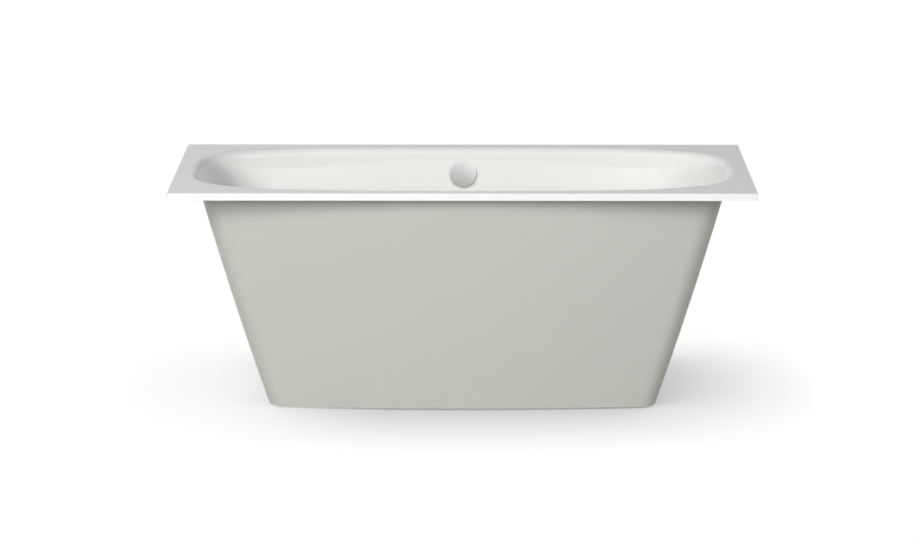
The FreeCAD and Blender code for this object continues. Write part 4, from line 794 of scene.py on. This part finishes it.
PLUG_SECTION = [
    (0.0, PLUG_UNDER - SPIGOT_LENGTH, 0), (SPIGOT_RADIUS, PLUG_UNDER - SPIGOT_LENGTH, SOFT_EDGE),
    (SPIGOT_RADIUS, PLUG_UNDER, 0), (PLUG_RADIUS, PLUG_UNDER, RIM_EDGE),
    (PLUG_RADIUS, PLUG_UNDER + PLUG_EDGE, RIM_EDGE),
    *dome((0.028, 0.023, 0.017, 0.011, 0.005, 0.0), PLUG_UNDER + PLUG_RISE, PLUG_BALL),
]
plug = turned_piece("polished_plug", PLUG_SECTION, Matrix(), drain_chrome)
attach(plug, "plug")
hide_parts("drain_plug")
count(plug)

# %% [markdown]
# ### The ringed hose
#
# The overflow's hose is ringed so that it bends. Its rings are a rule on a plain tube: every point
# of the tube's outside carries how far along the path it is and which way is out, and the tree
# draws it in by a cosine of that distance. Both ends keep a plain cuff, where the collars hold
# them.

# %% Path of the hose
HOSE_RADIUS, HOSE_BORE, HOSE_BEND = 0.016, 0.0135, 0.060
HOSE_TOP = Vector((0, 0.313765, 0.517142))
HOSE_CORNER = Vector((0, 0.26153, 0.147))
HOSE_END = Vector((0, 0.038, 0.147))
HOSE_STEP, BORE_STEPS, HOSE_ANGLES = 0.001, 12, 32
RING_PITCH, RING_DEPTH, CUFF_LENGTH = 0.006, 0.0016, 0.034
SIDEWAYS = Vector((1, 0, 0))


def bent_path(start, corner, end, bend, step):
    """Points, headings and lengths along two straight runs joined by an arc."""
    into, out = (corner - start).normalized(), (end - corner).normalized()
    turn = into.angle(out)
    back_off = bend * math.tan(turn / 2)
    bend_start = corner - into * back_off
    first_run, last_run = (corner - start).length - back_off, (end - corner).length - back_off
    bend_end = first_run + bend * turn
    whole = bend_end + last_run
    centre = bend_start + (out - into * into.dot(out)).normalized() * bend
    steps = round(whole / step)
    found = []
    for i in range(steps + 1):
        along = whole * i / steps
        if along <= first_run:
            found.append((start + into * along, into, along))
        elif along < bend_end:
            spin = Matrix.Rotation((along - first_run) / bend, 3, into.cross(out))
            found.append((centre + spin @ (bend_start - centre), spin @ into, along))
        else:
            found.append((end - out * (whole - along), out, along))
    return found


def hose_mesh(path, outer, inner):
    """Hollow tube with the named values that the rings' rule reads."""
    points, along_values, out_values = [], [], []
    walls = ((outer, path, 1), (inner, path[::-BORE_STEPS] + path[:1], 0))
    for radius, spots, outside in walls:
        for spot, heading, along in spots:
            for k in range(HOSE_ANGLES):
                angle = FULL_TURN * k / HOSE_ANGLES
                out = SIDEWAYS * math.cos(angle) + heading.cross(SIDEWAYS) * math.sin(angle)
                points.append(spot + out * radius)
                along_values.append(along)
                out_values.extend(out * outside)
    mesh = plain_mesh(
        "hose_tube", points, ring_faces(len(points) // HOSE_ANGLES, HOSE_ANGLES))
    mesh.attributes.new("along", "FLOAT", "POINT").data.foreach_set("value", along_values)
    mesh.attributes.new("out", "FLOAT_VECTOR", "POINT").data.foreach_set("vector", out_values)
    return mesh


hose_path = bent_path(HOSE_TOP, HOSE_CORNER, HOSE_END, HOSE_BEND, HOSE_STEP)
print("hose", round(hose_path[-1][2] * 1000, 1), "mm along its middle")

# %% Rings of the hose
ringed = Rule("rings_on_hose")
pitch, depth = ringed.given("Pitch"), ringed.given("Depth")
cuff, whole_length = ringed.given("Cuff"), ringed.given("Length")
along, out = ringed.named("along", "FLOAT"), ringed.named("out", "FLOAT_VECTOR")
turns = ringed.maths("DIVIDE", ringed.maths("SUBTRACT", along, cuff), pitch)
wave = ringed.maths("COSINE", ringed.maths("MULTIPLY", turns, FULL_TURN))
dip = ringed.maths("MULTIPLY", ringed.maths("SUBTRACT", wave, 1.0), 0.5)
past_cuffs = ringed.maths(
    "MULTIPLY", ringed.maths("GREATER_THAN", along, cuff),
    ringed.maths("LESS_THAN", along, ringed.maths("SUBTRACT", whole_length, cuff)))
push = ringed.maths("MULTIPLY", ringed.maths("MULTIPLY", dip, past_cuffs), depth)
offset = ringed.add("ShaderNodeVectorMath", {0: out, "Scale": push}, operation="SCALE")
shaped = ringed.add("GeometryNodeSetPosition", {
    "Geometry": ringed.start.outputs["Geometry"], "Offset": offset.outputs[0]})
ringed.done(shaped.outputs[0], white_plastic)

hose = ringed.bake(
    "ringed_hose", hose_mesh(hose_path, HOSE_RADIUS, HOSE_BORE), Pitch=RING_PITCH,
    Depth=RING_DEPTH, Cuff=CUFF_LENGTH, Length=hose_path[-1][2])
smooth(hose, 60)
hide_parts("overflow_pipe")
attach(hose, "bath")
count(hose)

# %% [markdown]
# ### Foot plates
#
# A foot plate is a moulded cone with a socket, stiffened by eight ribs. The cone is turned as the
# knob is; one rib is drawn, and the tree sets it round the socket, each copy turned by its share
# of a full turn.

# %% Cone and rib of a foot plate
PLATE_RADIUS, SOCKET_RADIUS, STUD_HOLE = 0.030, 0.014, 0.0061
PLATE_EDGE, SOCKET_FOOT, PLATE_TOP, HOLE_FLOOR = 0.006, 0.0145, 0.022, 0.008
PLATE_SECTION = [
    (0.0, 0.0, 0), (PLATE_RADIUS, 0.0, 0.0008), (PLATE_RADIUS, PLATE_EDGE, 0.0012),
    (SOCKET_RADIUS, SOCKET_FOOT, 0.001), (SOCKET_RADIUS, PLATE_TOP, 0.0008),
    (STUD_HOLE, PLATE_TOP, 0.0004), (STUD_HOLE, HOLE_FLOOR, 0), (0.0, HOLE_FLOOR, 0),
]
RIBS, RIB_THICK = 8, 0.0024
# Radius and height of a rib's corners; its inner edge and foot are sunk in the cone.
RIB_OUTLINE = (
    (0.0125, 0.008), (0.0285, 0.0052), (0.0285, 0.0075), (0.0150, 0.0205), (0.0125, 0.0205))


def slab_mesh(name, outline, thick):
    """Plate of even thickness from an outline in the XZ plane."""
    corners = len(outline)
    points = [(x, side * thick / 2, z) for side in (-1, 1) for x, z in outline]
    faces = [tuple(range(corners)), tuple(reversed(range(corners, 2 * corners)))]
    for i in range(corners):
        j = (i + 1) % corners
        faces.append((i, i + corners, j + corners, j))
    return plain_mesh(name, points, faces)


# %% Ribbed foot plates
ribbed = Rule("ribs_round_a_socket")
rib_shape, rib_count = ribbed.given("Rib", "Object"), ribbed.given("Count", "Int")
middle_of_plate = ribbed.given("Centre", "Vector")
in_one_place = ribbed.add("GeometryNodeMeshLine", {"Count": rib_count, "Offset": (0, 0, 0)})
number = ribbed.add("GeometryNodeInputIndex").outputs[0]
share = ribbed.maths("DIVIDE", FULL_TURN, rib_count)
turned = ribbed.upward(ribbed.maths("MULTIPLY", number, share))
all_ribs = ribbed.copies(in_one_place.outputs[0], rib_shape, turned)
ribbed.done(ribbed.joined(
    ribbed.start.outputs["Geometry"], ribbed.shifted(all_ribs, middle_of_plate)), black_plastic)

rib = bpy.data.objects.new("rib", slab_mesh("rib", RIB_OUTLINE, RIB_THICK))
bpy.context.scene.collection.objects.link(rib)
for tag in FEET:
    middle = foot_of(*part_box("foot_plate_" + tag))
    cone = turned_piece("cone", PLATE_SECTION, Matrix.Translation(middle), black_plastic)
    plate = ribbed.bake("ribbed_plate_" + tag, cone.data, Rib=rib, Count=RIBS, Centre=middle)
    bpy.data.objects.remove(cone)
    smooth(plate, 30)
    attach(plate, "plate_" + tag)
    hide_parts("foot_plate_" + tag)
bpy.data.objects.remove(rib)
count(plate)
